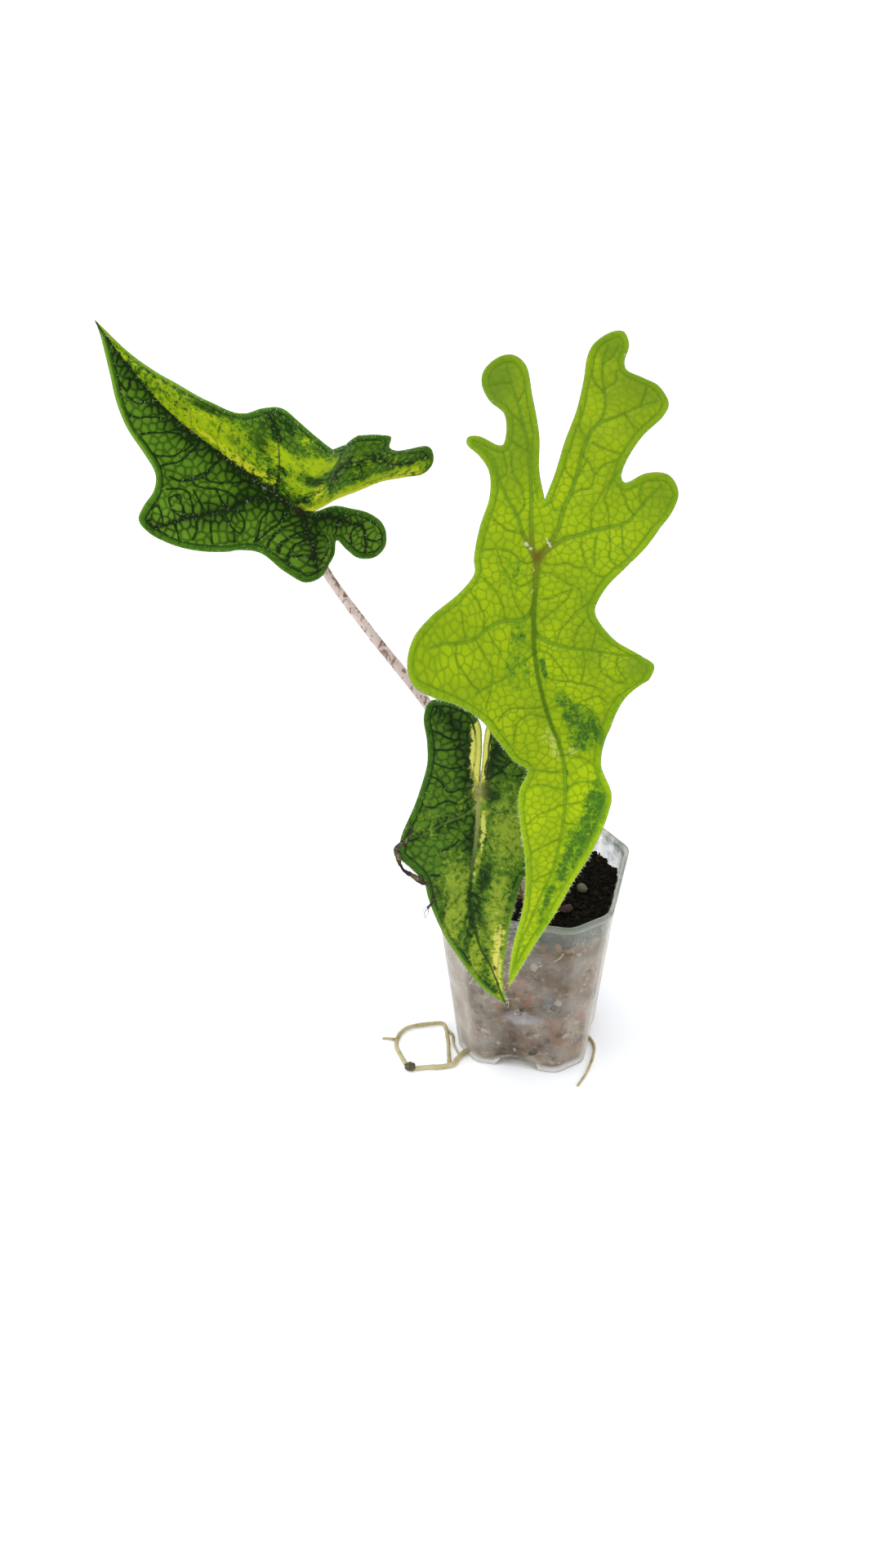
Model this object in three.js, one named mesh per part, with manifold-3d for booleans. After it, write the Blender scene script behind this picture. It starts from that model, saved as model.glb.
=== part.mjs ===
// A young alocasia with three lobed, yellow-marked leaves in a clear square pot.
// Millimetres, +Z up. The origin is the middle of the pot's underside.
// X runs to the right of the plant's front, and Y runs to its back.
import * as THREE from "three";
import { mergeVertices } from "three/addons/utils/BufferGeometryUtils.js";
import { TessellateModifier } from "three/addons/modifiers/TessellateModifier.js";
import Module from "manifold-3d";

const wasm = await Module();
wasm.setup();

// Driving dimensions
const POT_TOP = 70;
const POT_BOTTOM = 52;
const POT_HEIGHT = 81;
const POT_CHAMFER_SHARE = 0.18;
const POT_WALL = 1;
const POT_FLOOR = 1.4;
const POT_TURN_DEG = -12;
const LIP_REACH = 0.9;
const LIP_HEIGHT = 2.4;
const FOOT_ARCH_RADIUS = 16;
const FOOT_ARCH_HEIGHT = 2.6;
const FOOT_ARCH_DEPTH = 5;
const DRAIN_RADIUS = 2.4;
const SOIL_LEVEL = 71;
const SOIL_HEAP = 1.6;
const SEAT_GAP = 0.3;
const BLADE_THICKNESS = 1;
const BLADE_EDGE_STEP = 4.5;
const BLADE_FACET = 7.2;
const CREASE_WIDTH = 3;
const SPINE_STEPS = 24;
const PETIOLE_SIDES = 9;
const PETIOLE_STEPS = 30;
const ROOT_SIDES = 7;

// Colour, roughness and metalness of each finish
const FINISH = {
  clear_plastic: { color: 0xb9bcc0, roughness: 0.35, transparent: true, opacity: 0.55 },
  potting_mix: { color: 0x17180f, roughness: 1 },
  stem_skin: { color: 0xcdb9b0, roughness: 0.55 },
  corm_skin: { color: 0x6b4a32, roughness: 0.9 },
  root_skin: { color: 0xc2b78a, roughness: 0.8 },
  leaf_lime: { color: 0x96be1e, roughness: 0.4 },
  leaf_dark: { color: 0x2f5216, roughness: 0.45 },
  bark: { color: 0x70401c, roughness: 0.95 },
  pumice: { color: 0xcfcac0, roughness: 0.95 },
};

// Each blade is drawn flat, as seen on its upper face with the tip hanging down:
// [across, along], across to the right of the midrib, along from the stalk to the tip.
// Its spine is the line of the midrib in space, which runs on backwards between the basal lobes,
// and folds lists how steeply the right and left halves rise beside it, in degrees, by place along it.
const BLADES = {
  blade_front: {
    finish: "leaf_lime",
    spine: [
      [7, 26, 287], [3, 1, 261], [0, -11, 245], [-2, -20, 231], [-3, -38, 204], [1, -48, 187],
      [5, -54, 176], [7, -58, 167], [7, -62, 151], [1, -67, 113], [-5, -69, 95], [-11, -70, 77],
    ],
    stalkPoint: 3,
    face: [0, -0.87, 0.5],
    folds: [[-60, 4, 4], [0, 12, 12], [65, 12, 12], [85, 22, 20], [169, 26, 24]],
    curl: -0.35,
    wave: { height: 1.4, length: 52, shift: 0.8 },
    right: [
      [0, -21], [2, -30], [4, -42], [7, -54], [8.5, -66], [9, -75], [11, -80], [17, -85], [21, -85.5],
      [23.5, -81], [22.5, -75], [23.5, -72], [30, -70], [36, -68], [40, -62], [38, -56], [31, -47],
      [26.5, -38], [25.5, -32.5], [27, -31], [34, -35], [42, -35.5], [46.5, -31], [46, -25], [39, -11],
      [33, -1], [25, 9], [21.5, 17], [22, 20], [28, 29.5], [37, 42], [40.5, 48], [38, 52], [26, 60],
      [17.5, 68], [14, 75], [17.5, 84], [16.5, 91], [12.5, 106], [8.5, 118], [6, 129], [3.5, 141],
      [2, 153], [0, 169],
    ],
    left: [
      [0, -21], [-3.5, -31], [-5, -43], [-9, -58], [-12.5, -69], [-17, -72], [-22, -71], [-27, -66],
      [-27.5, -61], [-24, -54.5], [-18.5, -50], [-17, -45], [-17.5, -38], [-19, -37.5], [-26.5, -40],
      [-30, -39], [-30, -36], [-25, -32], [-21, -27], [-19.5, -19], [-21.5, -8], [-22.5, 2], [-22, 7],
      [-27, 14], [-37, 22], [-43, 28], [-45.5, 34], [-44, 38], [-38, 41.5], [-29.5, 45.5], [-23.5, 51.5],
      [-19.5, 60], [-17, 68], [-13, 73.5], [-16.5, 81], [-17, 87], [-15, 98], [-12, 109], [-9.5, 121],
      [-8, 132], [-6.5, 144], [-4, 156], [0, 169],
    ],
  },
  blade_left: {
    finish: "leaf_dark",
    spine: [
      [-50, 46, 219], [-74, 29, 226], [-83, 22.5, 227.5], [-89, 21, 229.5], [-98, 23.5, 235],
      [-115, 29, 246], [-136, 37, 261], [-152, 45, 278], [-162, 51, 291],
    ],
    stalkPoint: 3,
    face: [-0.25, -0.95, 0.17],
    folds: [[-15, 13, 15], [0, 28, 32], [60, 28, 32], [102, 24, 28]],
    curl: -0.1,
    wave: { height: 0.9, length: 40, shift: 0.5 },
    right: [
      [0, -7], [-1, -15], [1, -24], [3, -32], [7, -39], [12, -42], [17, -42], [20.5, -38], [20.5, -30],
      [17, -24], [13, -18.5], [19, -18], [24, -12], [26.5, -6], [23, -1.5], [20.5, 2], [24, 7.5],
      [32, 18.5], [37, 29], [38.5, 38], [37, 43], [32, 44.5], [25, 45], [20, 48], [17, 55], [14.5, 65],
      [11, 74], [7.5, 81], [3.5, 90], [1, 97], [0, 101],
    ],
    left: [
      [0, -7], [-4, -16], [-7, -23], [-11.5, -32], [-13, -42], [-14.5, -51], [-19, -53], [-25, -50.5],
      [-27.5, -47], [-27, -38], [-27, -32], [-29, -28], [-34, -26.5], [-35, -22], [-35, -13], [-38, -4],
      [-42, 7], [-44, 16], [-43, 22.5], [-35, 29.5], [-27, 34], [-24, 38], [-22, 46], [-17.5, 60],
      [-11, 71.5], [-6, 82], [-2, 94], [0, 101],
    ],
  },
  blade_low: {
    finish: "leaf_dark",
    spine: [
      [-20, -30, 176], [-21, -36, 157], [-22, -40, 144], [-22, -45, 129], [-24, -50, 113],
      [-23, -53, 97], [-18, -56, 76], [-11, -58, 59],
    ],
    stalkPoint: 2,
    face: [0, -0.98, 0.2],
    folds: [[-33, 6, 6], [0, 12, 12], [89, 16, 16]],
    curl: -0.35,
    wave: { height: 1, length: 36, shift: 0.8 },
    right: [
      [0, -2.5], [1.5, -11], [3, -22], [6, -29], [13, -34.5], [20, -33], [22, -27], [21, -18],
      [20.5, -9], [23, 1], [28, 12], [29, 19], [25, 24], [19, 28.5], [17.5, 35], [15.5, 43],
      [12.5, 53], [8.5, 65], [3, 79.5], [0, 89],
    ],
    left: [
      [0, -2.5], [-1, -11], [-1, -25], [-6, -33], [-15, -35.5], [-20, -34.5], [-22, -29], [-20.5, -20],
      [-20, -10], [-22, -1], [-28, 12], [-29, 21], [-28.5, 26.5], [-23, 30], [-18.5, 33], [-17, 38],
      [-15.5, 43], [-13, 51.5], [-9, 64.5], [-5, 78], [0, 89],
    ],
  },
};

// Each stalk starts on the corm and ends against the underside of its blade.
const CORM_TOP = 76;
const PETIOLES = {
  petiole_front: {
    blade: "blade_front",
    base: [2.6, 2.4],
    route: [[4, 5, 105], [3, 6, 150], [0, 1, 195]],
    baseRadius: 3.2,
    topRadius: 1.9,
  },
  petiole_left: {
    blade: "blade_left",
    base: [-4.6, 1],
    route: [[-16, 3, 112], [-41.3, 8, 153.5], [-62.4, 15, 180.5], [-78.5, 24.5, 200.5], [-85, 28, 214]],
    baseRadius: 3.1,
    topRadius: 1.7,
  },
  petiole_low: {
    blade: "blade_low",
    base: [-0.9, -4.9],
    route: [[-6, -7, 98], [-14, -11, 118], [-20, -19, 134]],
    baseRadius: 2.6,
    topRadius: 1.4,
  },
};
const STALK_APPROACH = 6;

// Roots that have left the pot and lie on the surface it stands on
// Each route follows the underside of the root.
const ROOT_RING = [
  [-21.3, -14.3, 2], [-24.2, -16.2, 0.9], [-27, -18, 0.3], [-29.2, -21.2, 0.1], [-31, -24.4, 0.1],
  [-34.8, -25.8, 0.1], [-41, -26.2, 0.1], [-48.2, -26.5, 0.2], [-52, -19.5, 0.1], [-54.3, -12, 0.1],
  [-53, -5.5, 0.3], [-49.5, -1.4, 0.3], [-42, 0.8, 0.3], [-35, 1, 0.3], [-33.2, -7.8, 0.1],
  [-32.8, -16, 0.1], [-32.5, -24.5, 0.1],
];
const ROOT_RING_RADIUS = 1.2;
const ROOT_SPUR = [[-53.6, -9, 0.3], [-57, -8, 0.2], [-60, -7.6, 0.1]];
const ROOT_BRIDGE = [[-34, -2, 0.3], [-31.2, -5.5, 0.1], [-30.6, -11.5, 0.1], [-28.3, -19, 0.2]];
const ROOT_THIN_RADIUS = 0.8;
const ROOT_NODE = { at: [-48.4, -26.6, 1.9], radius: 2 };
const ROOT_TIP = [
  [21, -4.6, 5.5], [21.6, -4.8, 1.4], [25.5, -8, 0.2], [27, -13, 0.1], [26.2, -19, 0.1],
  [23, -29, 0.1], [19, -37, 0.1],
];
const ROOT_TIP_RADIUS = 0.85;

// The notch in the foot that the ring of roots has come out through
const NOTCH_SIZE = [13, 3.1, 12];
const NOTCH_PLACE = [-23.8, -15.9, -0.9];
const NOTCH_TURN_DEG = 33;

// Loose pieces on the potting mix: [x, y, longest half-width]
const BARK_PLACES = [[15, 12, 3.4], [13, -15, 3], [-14, 16, 3.2], [-10, -17, 2.8]];
const PUMICE_PLACES = [[20, -2, 2.4], [4, 20, 2], [-20, 2, 2.2]];

// Solids: joining, cutting and turning back into meshes
function toSolid(geometry) {
  const bare = geometry.clone();
  for (const name of Object.keys(bare.attributes)) {
    if (name !== "position") {
      bare.deleteAttribute(name);
    }
  }
  const merged = mergeVertices(bare, 1e-4);
  return new wasm.Manifold(
    new wasm.Mesh({
      numProp: 3,
      vertProperties: new Float32Array(merged.attributes.position.array),
      triVerts: new Uint32Array(merged.index.array),
    }),
  );
}

function toGeometry(solid) {
  const mesh = solid.getMesh();
  const geometry = new THREE.BufferGeometry();
  geometry.setAttribute("position", new THREE.BufferAttribute(mesh.vertProperties, 3));
  geometry.setIndex(new THREE.BufferAttribute(mesh.triVerts, 1));
  geometry.computeVertexNormals();
  return geometry;
}

function eachVertex(geometry, move) {
  const position = geometry.attributes.position;
  const point = new THREE.Vector3();
  for (let i = 0; i < position.count; i += 1) {
    point.fromBufferAttribute(position, i);
    const moved = move(point);
    position.setXYZ(i, moved.x, moved.y, moved.z);
  }
  return geometry;
}

function vectors(points) {
  return points.map(([x, y, z]) => new THREE.Vector3(x, y, z));
}

// A straight line through a short table of [place, value, value...] rows
function tableValue(rows, place, column) {
  if (place <= rows[0][0]) {
    return rows[0][column];
  }
  for (let i = 1; i < rows.length; i += 1) {
    const [start, end] = [rows[i - 1], rows[i]];
    if (place <= end[0]) {
      const share = (place - start[0]) / (end[0] - start[0]);
      return start[column] + (end[column] - start[column]) * share;
    }
  }
  return rows[rows.length - 1][column];
}

// Blades
function spineStations({ spine, stalkPoint, face }) {
  const curve = new THREE.CatmullRomCurve3(vectors(spine), false, "centripetal");
  const count = (spine.length - 1) * SPINE_STEPS;
  const home = stalkPoint * SPINE_STEPS;
  const stations = [];
  let along = 0;
  for (let i = 0; i <= count; i += 1) {
    const point = curve.getPoint(i / count);
    const tangent = curve.getTangent(i / count);
    along += i > 0 ? point.distanceTo(stations[i - 1].point) : 0;
    stations.push({ along, point, tangent, normal: null });
  }
  const shift = stations[home].along;
  for (const station of stations) {
    station.along -= shift;
  }
  const carry = (normal, tangent) => normal.clone().projectOnPlane(tangent).normalize();
  stations[home].normal = carry(new THREE.Vector3(...face), stations[home].tangent);
  for (let i = home + 1; i <= count; i += 1) {
    stations[i].normal = carry(stations[i - 1].normal, stations[i].tangent);
  }
  for (let i = home - 1; i >= 0; i -= 1) {
    stations[i].normal = carry(stations[i + 1].normal, stations[i].tangent);
  }
  return stations;
}

function stationAt(stations, along) {
  const first = stations[0];
  const last = stations[stations.length - 1];
  const place = THREE.MathUtils.clamp(along, first.along, last.along);
  let i = 1;
  while (i < stations.length - 1 && stations[i].along < place) {
    i += 1;
  }
  const [a, b] = [stations[i - 1], stations[i]];
  const share = (place - a.along) / (b.along - a.along);
  const tangent = a.tangent.clone().lerp(b.tangent, share).normalize();
  const normal = a.normal.clone().lerp(b.normal, share).projectOnPlane(tangent).normalize();
  const point = a.point.clone().lerp(b.point, share).addScaledVector(tangent, along - place);
  return { point, tangent, normal, side: normal.clone().cross(tangent) };
}

// A point of the flat blade, carried to its place in space
function bladePoint(blade, stations, across, along, lift) {
  const { point, normal, side } = stationAt(stations, along);
  const half = across < 0 ? -1 : 1;
  const reach = Math.abs(across);
  const fold = THREE.MathUtils.degToRad(tableValue(blade.folds, along, half > 0 ? 1 : 2));
  const curl = THREE.MathUtils.degToRad(blade.curl);
  const outward = (Math.sin(fold + curl * reach) - Math.sin(fold)) / curl;
  const upward = (Math.cos(fold) - Math.cos(fold + curl * reach)) / curl;
  const softened = 1 - Math.exp(-reach / CREASE_WIDTH);
  const lean = (fold + curl * reach) * softened;
  const turn = (2 * Math.PI * along) / blade.wave.length + blade.wave.shift * half;
  const ripple = blade.wave.height * (reach / 30) ** 1.5 * Math.sin(turn);
  const skin = normal.clone().multiplyScalar(Math.cos(lean));
  skin.addScaledVector(side, -half * Math.sin(lean));
  return point
    .addScaledVector(side, half * outward)
    .addScaledVector(normal, upward * softened)
    .addScaledVector(skin, ripple + lift);
}

function marginPoints(points) {
  const curve = new THREE.CatmullRomCurve3(
    points.map(([across, along]) => new THREE.Vector3(across, along, 0)),
    false,
    "centripetal",
  );
  const steps = Math.round(curve.getLength() / BLADE_EDGE_STEP);
  return curve.getSpacedPoints(steps).map((p) => new THREE.Vector2(p.x, p.y));
}

function bladeGeometry(blade) {
  const down = marginPoints(blade.right);
  const up = marginPoints(blade.left).reverse();
  const outline = new THREE.Shape([...down, ...up.slice(1, -1)]);
  const plate = new THREE.ExtrudeGeometry(outline, { depth: BLADE_THICKNESS, bevelEnabled: false });
  plate.deleteAttribute("uv");
  plate.deleteAttribute("normal");
  const fine = new TessellateModifier(BLADE_FACET, 10).modify(plate);
  const stations = spineStations(blade);
  eachVertex(fine, ({ x, y, z }) => bladePoint(blade, stations, x, y, z - BLADE_THICKNESS));
  return facingOut(fine);
}

// Turns a closed mesh's faces outwards where the bending has turned them in
function facingOut(geometry) {
  const solid = toSolid(geometry);
  if (solid.volume() > 0) {
    return toGeometry(solid);
  }
  const position = geometry.attributes.position;
  for (let i = 0; i < position.count; i += 3) {
    const second = new THREE.Vector3().fromBufferAttribute(position, i + 1);
    const third = new THREE.Vector3().fromBufferAttribute(position, i + 2);
    position.setXYZ(i + 1, third.x, third.y, third.z);
    position.setXYZ(i + 2, second.x, second.y, second.z);
  }
  return toGeometry(toSolid(geometry));
}

// Tubes whose radius changes along their route
function taperedTube(route, radiusAt, sides, steps) {
  const curve = new THREE.CatmullRomCurve3(vectors(route), false, "centripetal");
  const frames = curve.computeFrenetFrames(steps, false);
  const tube = new THREE.CylinderGeometry(1, 1, 1, sides, steps);
  eachVertex(tube, ({ x, y, z }) => {
    const share = y + 0.5;
    const k = Math.round(share * steps);
    const radius = radiusAt(share);
    return curve
      .getPointAt(share)
      .addScaledVector(frames.normals[k], x * radius)
      .addScaledVector(frames.binormals[k], -z * radius);
  });
  return facingOut(tube.toNonIndexed());
}

function petioleGeometry({ blade, base, route, baseRadius, topRadius }) {
  const shape = BLADES[blade];
  const { point, normal } = stationAt(spineStations(shape), 0);
  const foot = [base[0], base[1], CORM_TOP + SEAT_GAP];
  const rise = [base[0], base[1], CORM_TOP + 8];
  const end = point.clone().addScaledVector(normal, -BLADE_THICKNESS - SEAT_GAP);
  const approach = point.clone().addScaledVector(normal, -STALK_APPROACH);
  const radiusAt = (share) => topRadius + (baseRadius - topRadius) * (1 - share) ** 2;
  const all = [foot, rise, ...route, approach.toArray(), end.toArray()];
  return taperedTube(all, radiusAt, PETIOLE_SIDES, PETIOLE_STEPS);
}

// Pot and potting mix
function chamferedSquare(side) {
  const half = side / 2;
  const near = half - side * POT_CHAMFER_SHARE;
  return new THREE.Shape([
    new THREE.Vector2(half, -near), new THREE.Vector2(half, near),
    new THREE.Vector2(near, half), new THREE.Vector2(-near, half),
    new THREE.Vector2(-half, near), new THREE.Vector2(-half, -near),
    new THREE.Vector2(-near, -half), new THREE.Vector2(near, -half),
  ]);
}

function potSide(z) {
  return POT_BOTTOM + (POT_TOP - POT_BOTTOM) * (z / POT_HEIGHT);
}

// A tapering square block, inset from the pot's outside, between two heights
function taperBlock(inset, from, to) {
  const block = new THREE.ExtrudeGeometry(chamferedSquare(1), { depth: 1, bevelEnabled: false });
  eachVertex(block, (p) => {
    const height = from + (to - from) * p.z;
    const side = potSide(height) - 2 * inset;
    return p.set(p.x * side, p.y * side, height);
  });
  return toSolid(block);
}

// The shallow arch in the middle of each side's foot, grown by a margin
function footArches(grow) {
  const drop = FOOT_ARCH_RADIUS - FOOT_ARCH_HEIGHT;
  const depth = FOOT_ARCH_DEPTH + grow;
  let arches = null;
  for (let quarter = 0; quarter < 4; quarter += 1) {
    const arch = new THREE.CylinderGeometry(FOOT_ARCH_RADIUS + grow, FOOT_ARCH_RADIUS + grow, 20, 64);
    arch.translate(0, POT_BOTTOM / 2 + 10 - depth, -drop);
    arch.rotateZ((quarter * Math.PI) / 2);
    const solid = toSolid(arch);
    arches = arches ? arches.add(solid) : solid;
  }
  return arches;
}

function drainHoles() {
  let holes = null;
  for (let quarter = 0; quarter < 4; quarter += 1) {
    const hole = new THREE.CylinderGeometry(DRAIN_RADIUS, DRAIN_RADIUS, 12, 20);
    hole.rotateX(Math.PI / 2);
    hole.translate(0, POT_BOTTOM / 2 - FOOT_ARCH_DEPTH + DRAIN_RADIUS / 2, 2);
    hole.rotateZ((quarter * Math.PI) / 2);
    const solid = toSolid(hole);
    holes = holes ? holes.add(solid) : solid;
  }
  return holes;
}

function notch(grow) {
  const [long, wide, high] = NOTCH_SIZE;
  const box = new THREE.BoxGeometry(long + 2 * grow, wide + 2 * grow, high + 2 * grow);
  box.rotateZ(THREE.MathUtils.degToRad(NOTCH_TURN_DEG));
  box.translate(...NOTCH_PLACE);
  return toSolid(box);
}

function turned(solid) {
  const turn = new THREE.Matrix4().makeRotationZ(THREE.MathUtils.degToRad(POT_TURN_DEG));
  return toSolid(toGeometry(solid).applyMatrix4(turn));
}

function potSolid() {
  const rim = taperBlock(-LIP_REACH, POT_HEIGHT - LIP_HEIGHT, POT_HEIGHT);
  const outside = taperBlock(0, 0, POT_HEIGHT).add(rim).subtract(footArches(0));
  const hollow = taperBlock(POT_WALL, POT_FLOOR, POT_HEIGHT + 1).subtract(footArches(POT_WALL));
  return turned(outside.subtract(hollow).subtract(drainHoles())).subtract(notch(0));
}

function soilHeight(x, y) {
  const heap = SOIL_HEAP * Math.exp(-(x * x + y * y) / 260);
  const lumps = 0.5 * Math.sin(0.35 * x + 1) * Math.cos(0.3 * y) + 0.35 * Math.sin(0.8 * y + 0.5 * x);
  return SOIL_LEVEL + heap + lumps;
}

function soilSolid(cuts) {
  const span = 92;
  const cells = 14;
  const block = new THREE.BoxGeometry(span, span, 1, cells, cells, 1);
  eachVertex(block, (p) => p.setZ(p.z > 0 ? soilHeight(p.x, p.y) : -5));
  const clear = POT_WALL + SEAT_GAP;
  const plug = taperBlock(clear, POT_FLOOR + SEAT_GAP, POT_HEIGHT).subtract(footArches(clear));
  let soil = turned(plug).intersect(toSolid(block));
  for (const cut of cuts) {
    soil = soil.subtract(cut);
  }
  return soil;
}

// Corm, roots and loose pieces
function cormProfile(grow) {
  const profile = [[0, 57], [4, 57.8], [7.4, 61], [9, 66], [9.2, 70], [8.7, 73.5], [8.2, CORM_TOP]];
  const points = profile.map(([r, z]) => new THREE.Vector2(r ? r + grow : 0, z - grow));
  points.push(new THREE.Vector2(0, CORM_TOP));
  const turnedPiece = new THREE.LatheGeometry(points, 20);
  turnedPiece.rotateX(Math.PI / 2);
  return toSolid(facingOut(turnedPiece.toNonIndexed()));
}

function rootTube(route, radius, grow) {
  const radiusAt = (share) => radius * (1 - 0.35 * share);
  const middle = route.map(([x, y, z], i) => [x, y, z + radiusAt(i / (route.length - 1))]);
  const start = new THREE.SphereGeometry(radiusAt(0) * 0.8 + grow, ROOT_SIDES, 6);
  start.translate(...middle[0]);
  const grown = (share) => radiusAt(share) + grow;
  const tube = taperedTube(middle, grown, ROOT_SIDES, route.length * 3);
  return toSolid(tube).add(toSolid(start));
}

function rootRing() {
  const node = new THREE.SphereGeometry(ROOT_NODE.radius, 10, 8);
  node.scale(1, 1, 0.9);
  node.translate(...ROOT_NODE.at);
  return rootTube(ROOT_RING, ROOT_RING_RADIUS, 0)
    .add(rootTube(ROOT_SPUR, ROOT_THIN_RADIUS, 0))
    .add(rootTube(ROOT_BRIDGE, ROOT_THIN_RADIUS, 0))
    .add(toSolid(node));
}

// An angular lump, made by pushing a rounded block in and out
function chip(size, flatness, seed) {
  const lump = new THREE.IcosahedronGeometry(1, 1);
  eachVertex(lump, (p) => {
    const push = 1 + 0.16 * Math.sin(5 * p.x + seed) * Math.cos(4 * p.y - seed) + 0.1 * Math.sin(7 * p.z);
    return p.set(p.x * size * push, p.y * size * 0.7 * push, p.z * size * flatness * push);
  });
  lump.rotateZ(seed * 1.7);
  return lump;
}

// Lowers a loose piece until it rests just above the potting mix
function restOnSoil(lump, x, y, soil) {
  let piece = toSolid(lump).translate([x, y, SOIL_LEVEL + 8]);
  for (let i = 0; i < 8; i += 1) {
    const drop = piece.minGap(soil, 20) - SEAT_GAP;
    piece = piece.translate([0, 0, -drop]);
  }
  return toGeometry(piece);
}

// Assembly
const plant = new THREE.Group();

function addPiece(name, geometry, finish) {
  const material = new THREE.MeshStandardMaterial({ metalness: 0, ...FINISH[finish] });
  const mesh = new THREE.Mesh(geometry, material);
  mesh.name = name;
  plant.add(mesh);
}

const soil = soilSolid([
  cormProfile(SEAT_GAP),
  notch(0),
  rootTube(ROOT_TIP, ROOT_TIP_RADIUS, 2 * SEAT_GAP),
]);
addPiece("pot", toGeometry(potSolid()), "clear_plastic");
addPiece("potting_mix", toGeometry(soil), "potting_mix");
addPiece("corm", toGeometry(cormProfile(0)), "corm_skin");
for (const [name, petiole] of Object.entries(PETIOLES)) {
  addPiece(name, petioleGeometry(petiole), "stem_skin");
}
for (const [name, blade] of Object.entries(BLADES)) {
  addPiece(name, bladeGeometry(blade), blade.finish);
}
addPiece("root_ring", toGeometry(rootRing()), "root_skin");
addPiece("root_tip", toGeometry(rootTube(ROOT_TIP, ROOT_TIP_RADIUS, 0)), "root_skin");
BARK_PLACES.forEach(([x, y, size], i) => {
  addPiece(`bark_chip_${i + 1}`, restOnSoil(chip(size, 0.35, i + 1), x, y, soil), "bark");
});
PUMICE_PLACES.forEach(([x, y, size], i) => {
  addPiece(`pumice_${i + 1}`, restOnSoil(chip(size, 0.7, i + 5), x, y, soil), "pumice");
});

export default plant;
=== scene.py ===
"""A young alocasia with three lobed, yellow-marked leaves in a clear square pot.

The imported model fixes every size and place. Tables of leaf shapes are in millimetres,
+Z up, with the origin in the middle of the pot's underside. Blender's own units are metres.
"""

import itertools
import math

import bmesh
import bpy
import numpy as np
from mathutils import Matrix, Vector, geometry, kdtree


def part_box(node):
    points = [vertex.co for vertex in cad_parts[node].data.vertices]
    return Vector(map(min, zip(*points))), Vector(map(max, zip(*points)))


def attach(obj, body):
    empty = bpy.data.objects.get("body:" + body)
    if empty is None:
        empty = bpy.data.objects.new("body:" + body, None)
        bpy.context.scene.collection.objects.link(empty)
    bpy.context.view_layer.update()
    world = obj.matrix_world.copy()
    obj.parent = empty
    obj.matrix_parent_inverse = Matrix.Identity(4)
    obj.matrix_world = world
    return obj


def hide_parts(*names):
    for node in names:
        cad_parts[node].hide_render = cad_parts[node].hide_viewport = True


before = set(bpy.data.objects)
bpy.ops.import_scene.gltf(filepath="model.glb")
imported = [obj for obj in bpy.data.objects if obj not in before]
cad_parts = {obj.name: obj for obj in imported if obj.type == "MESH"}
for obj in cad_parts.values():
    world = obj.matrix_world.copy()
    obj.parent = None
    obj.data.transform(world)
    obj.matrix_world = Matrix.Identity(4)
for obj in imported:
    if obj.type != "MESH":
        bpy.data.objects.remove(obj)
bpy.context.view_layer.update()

bl_info = {
    "name": "Young alocasia in a clear pot",
    "version": (1, 0, 0),
    "blender": (4, 5, 0),
    "location": "View3D > Sidebar > Plant",
    "description": "Builds the visible plant, its pot and its potting mix around the packed model",
    "category": "Object",
}

MM = 0.001
# A blade's flat shape is kept in its UV map: millimetres over this span, around this middle.
FLAT_SPAN = 300.0
FLAT_MIDDLE = 0.45


def rgb(red, green, blue):
    """A screen colour, 0 to 255, as the linear colour that Blender works in."""
    shares = (red / 255, green / 255, blue / 255)
    return tuple(c / 12.92 if c <= 0.04045 else ((c + 0.055) / 1.055) ** 2.4 for c in shares)


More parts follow.
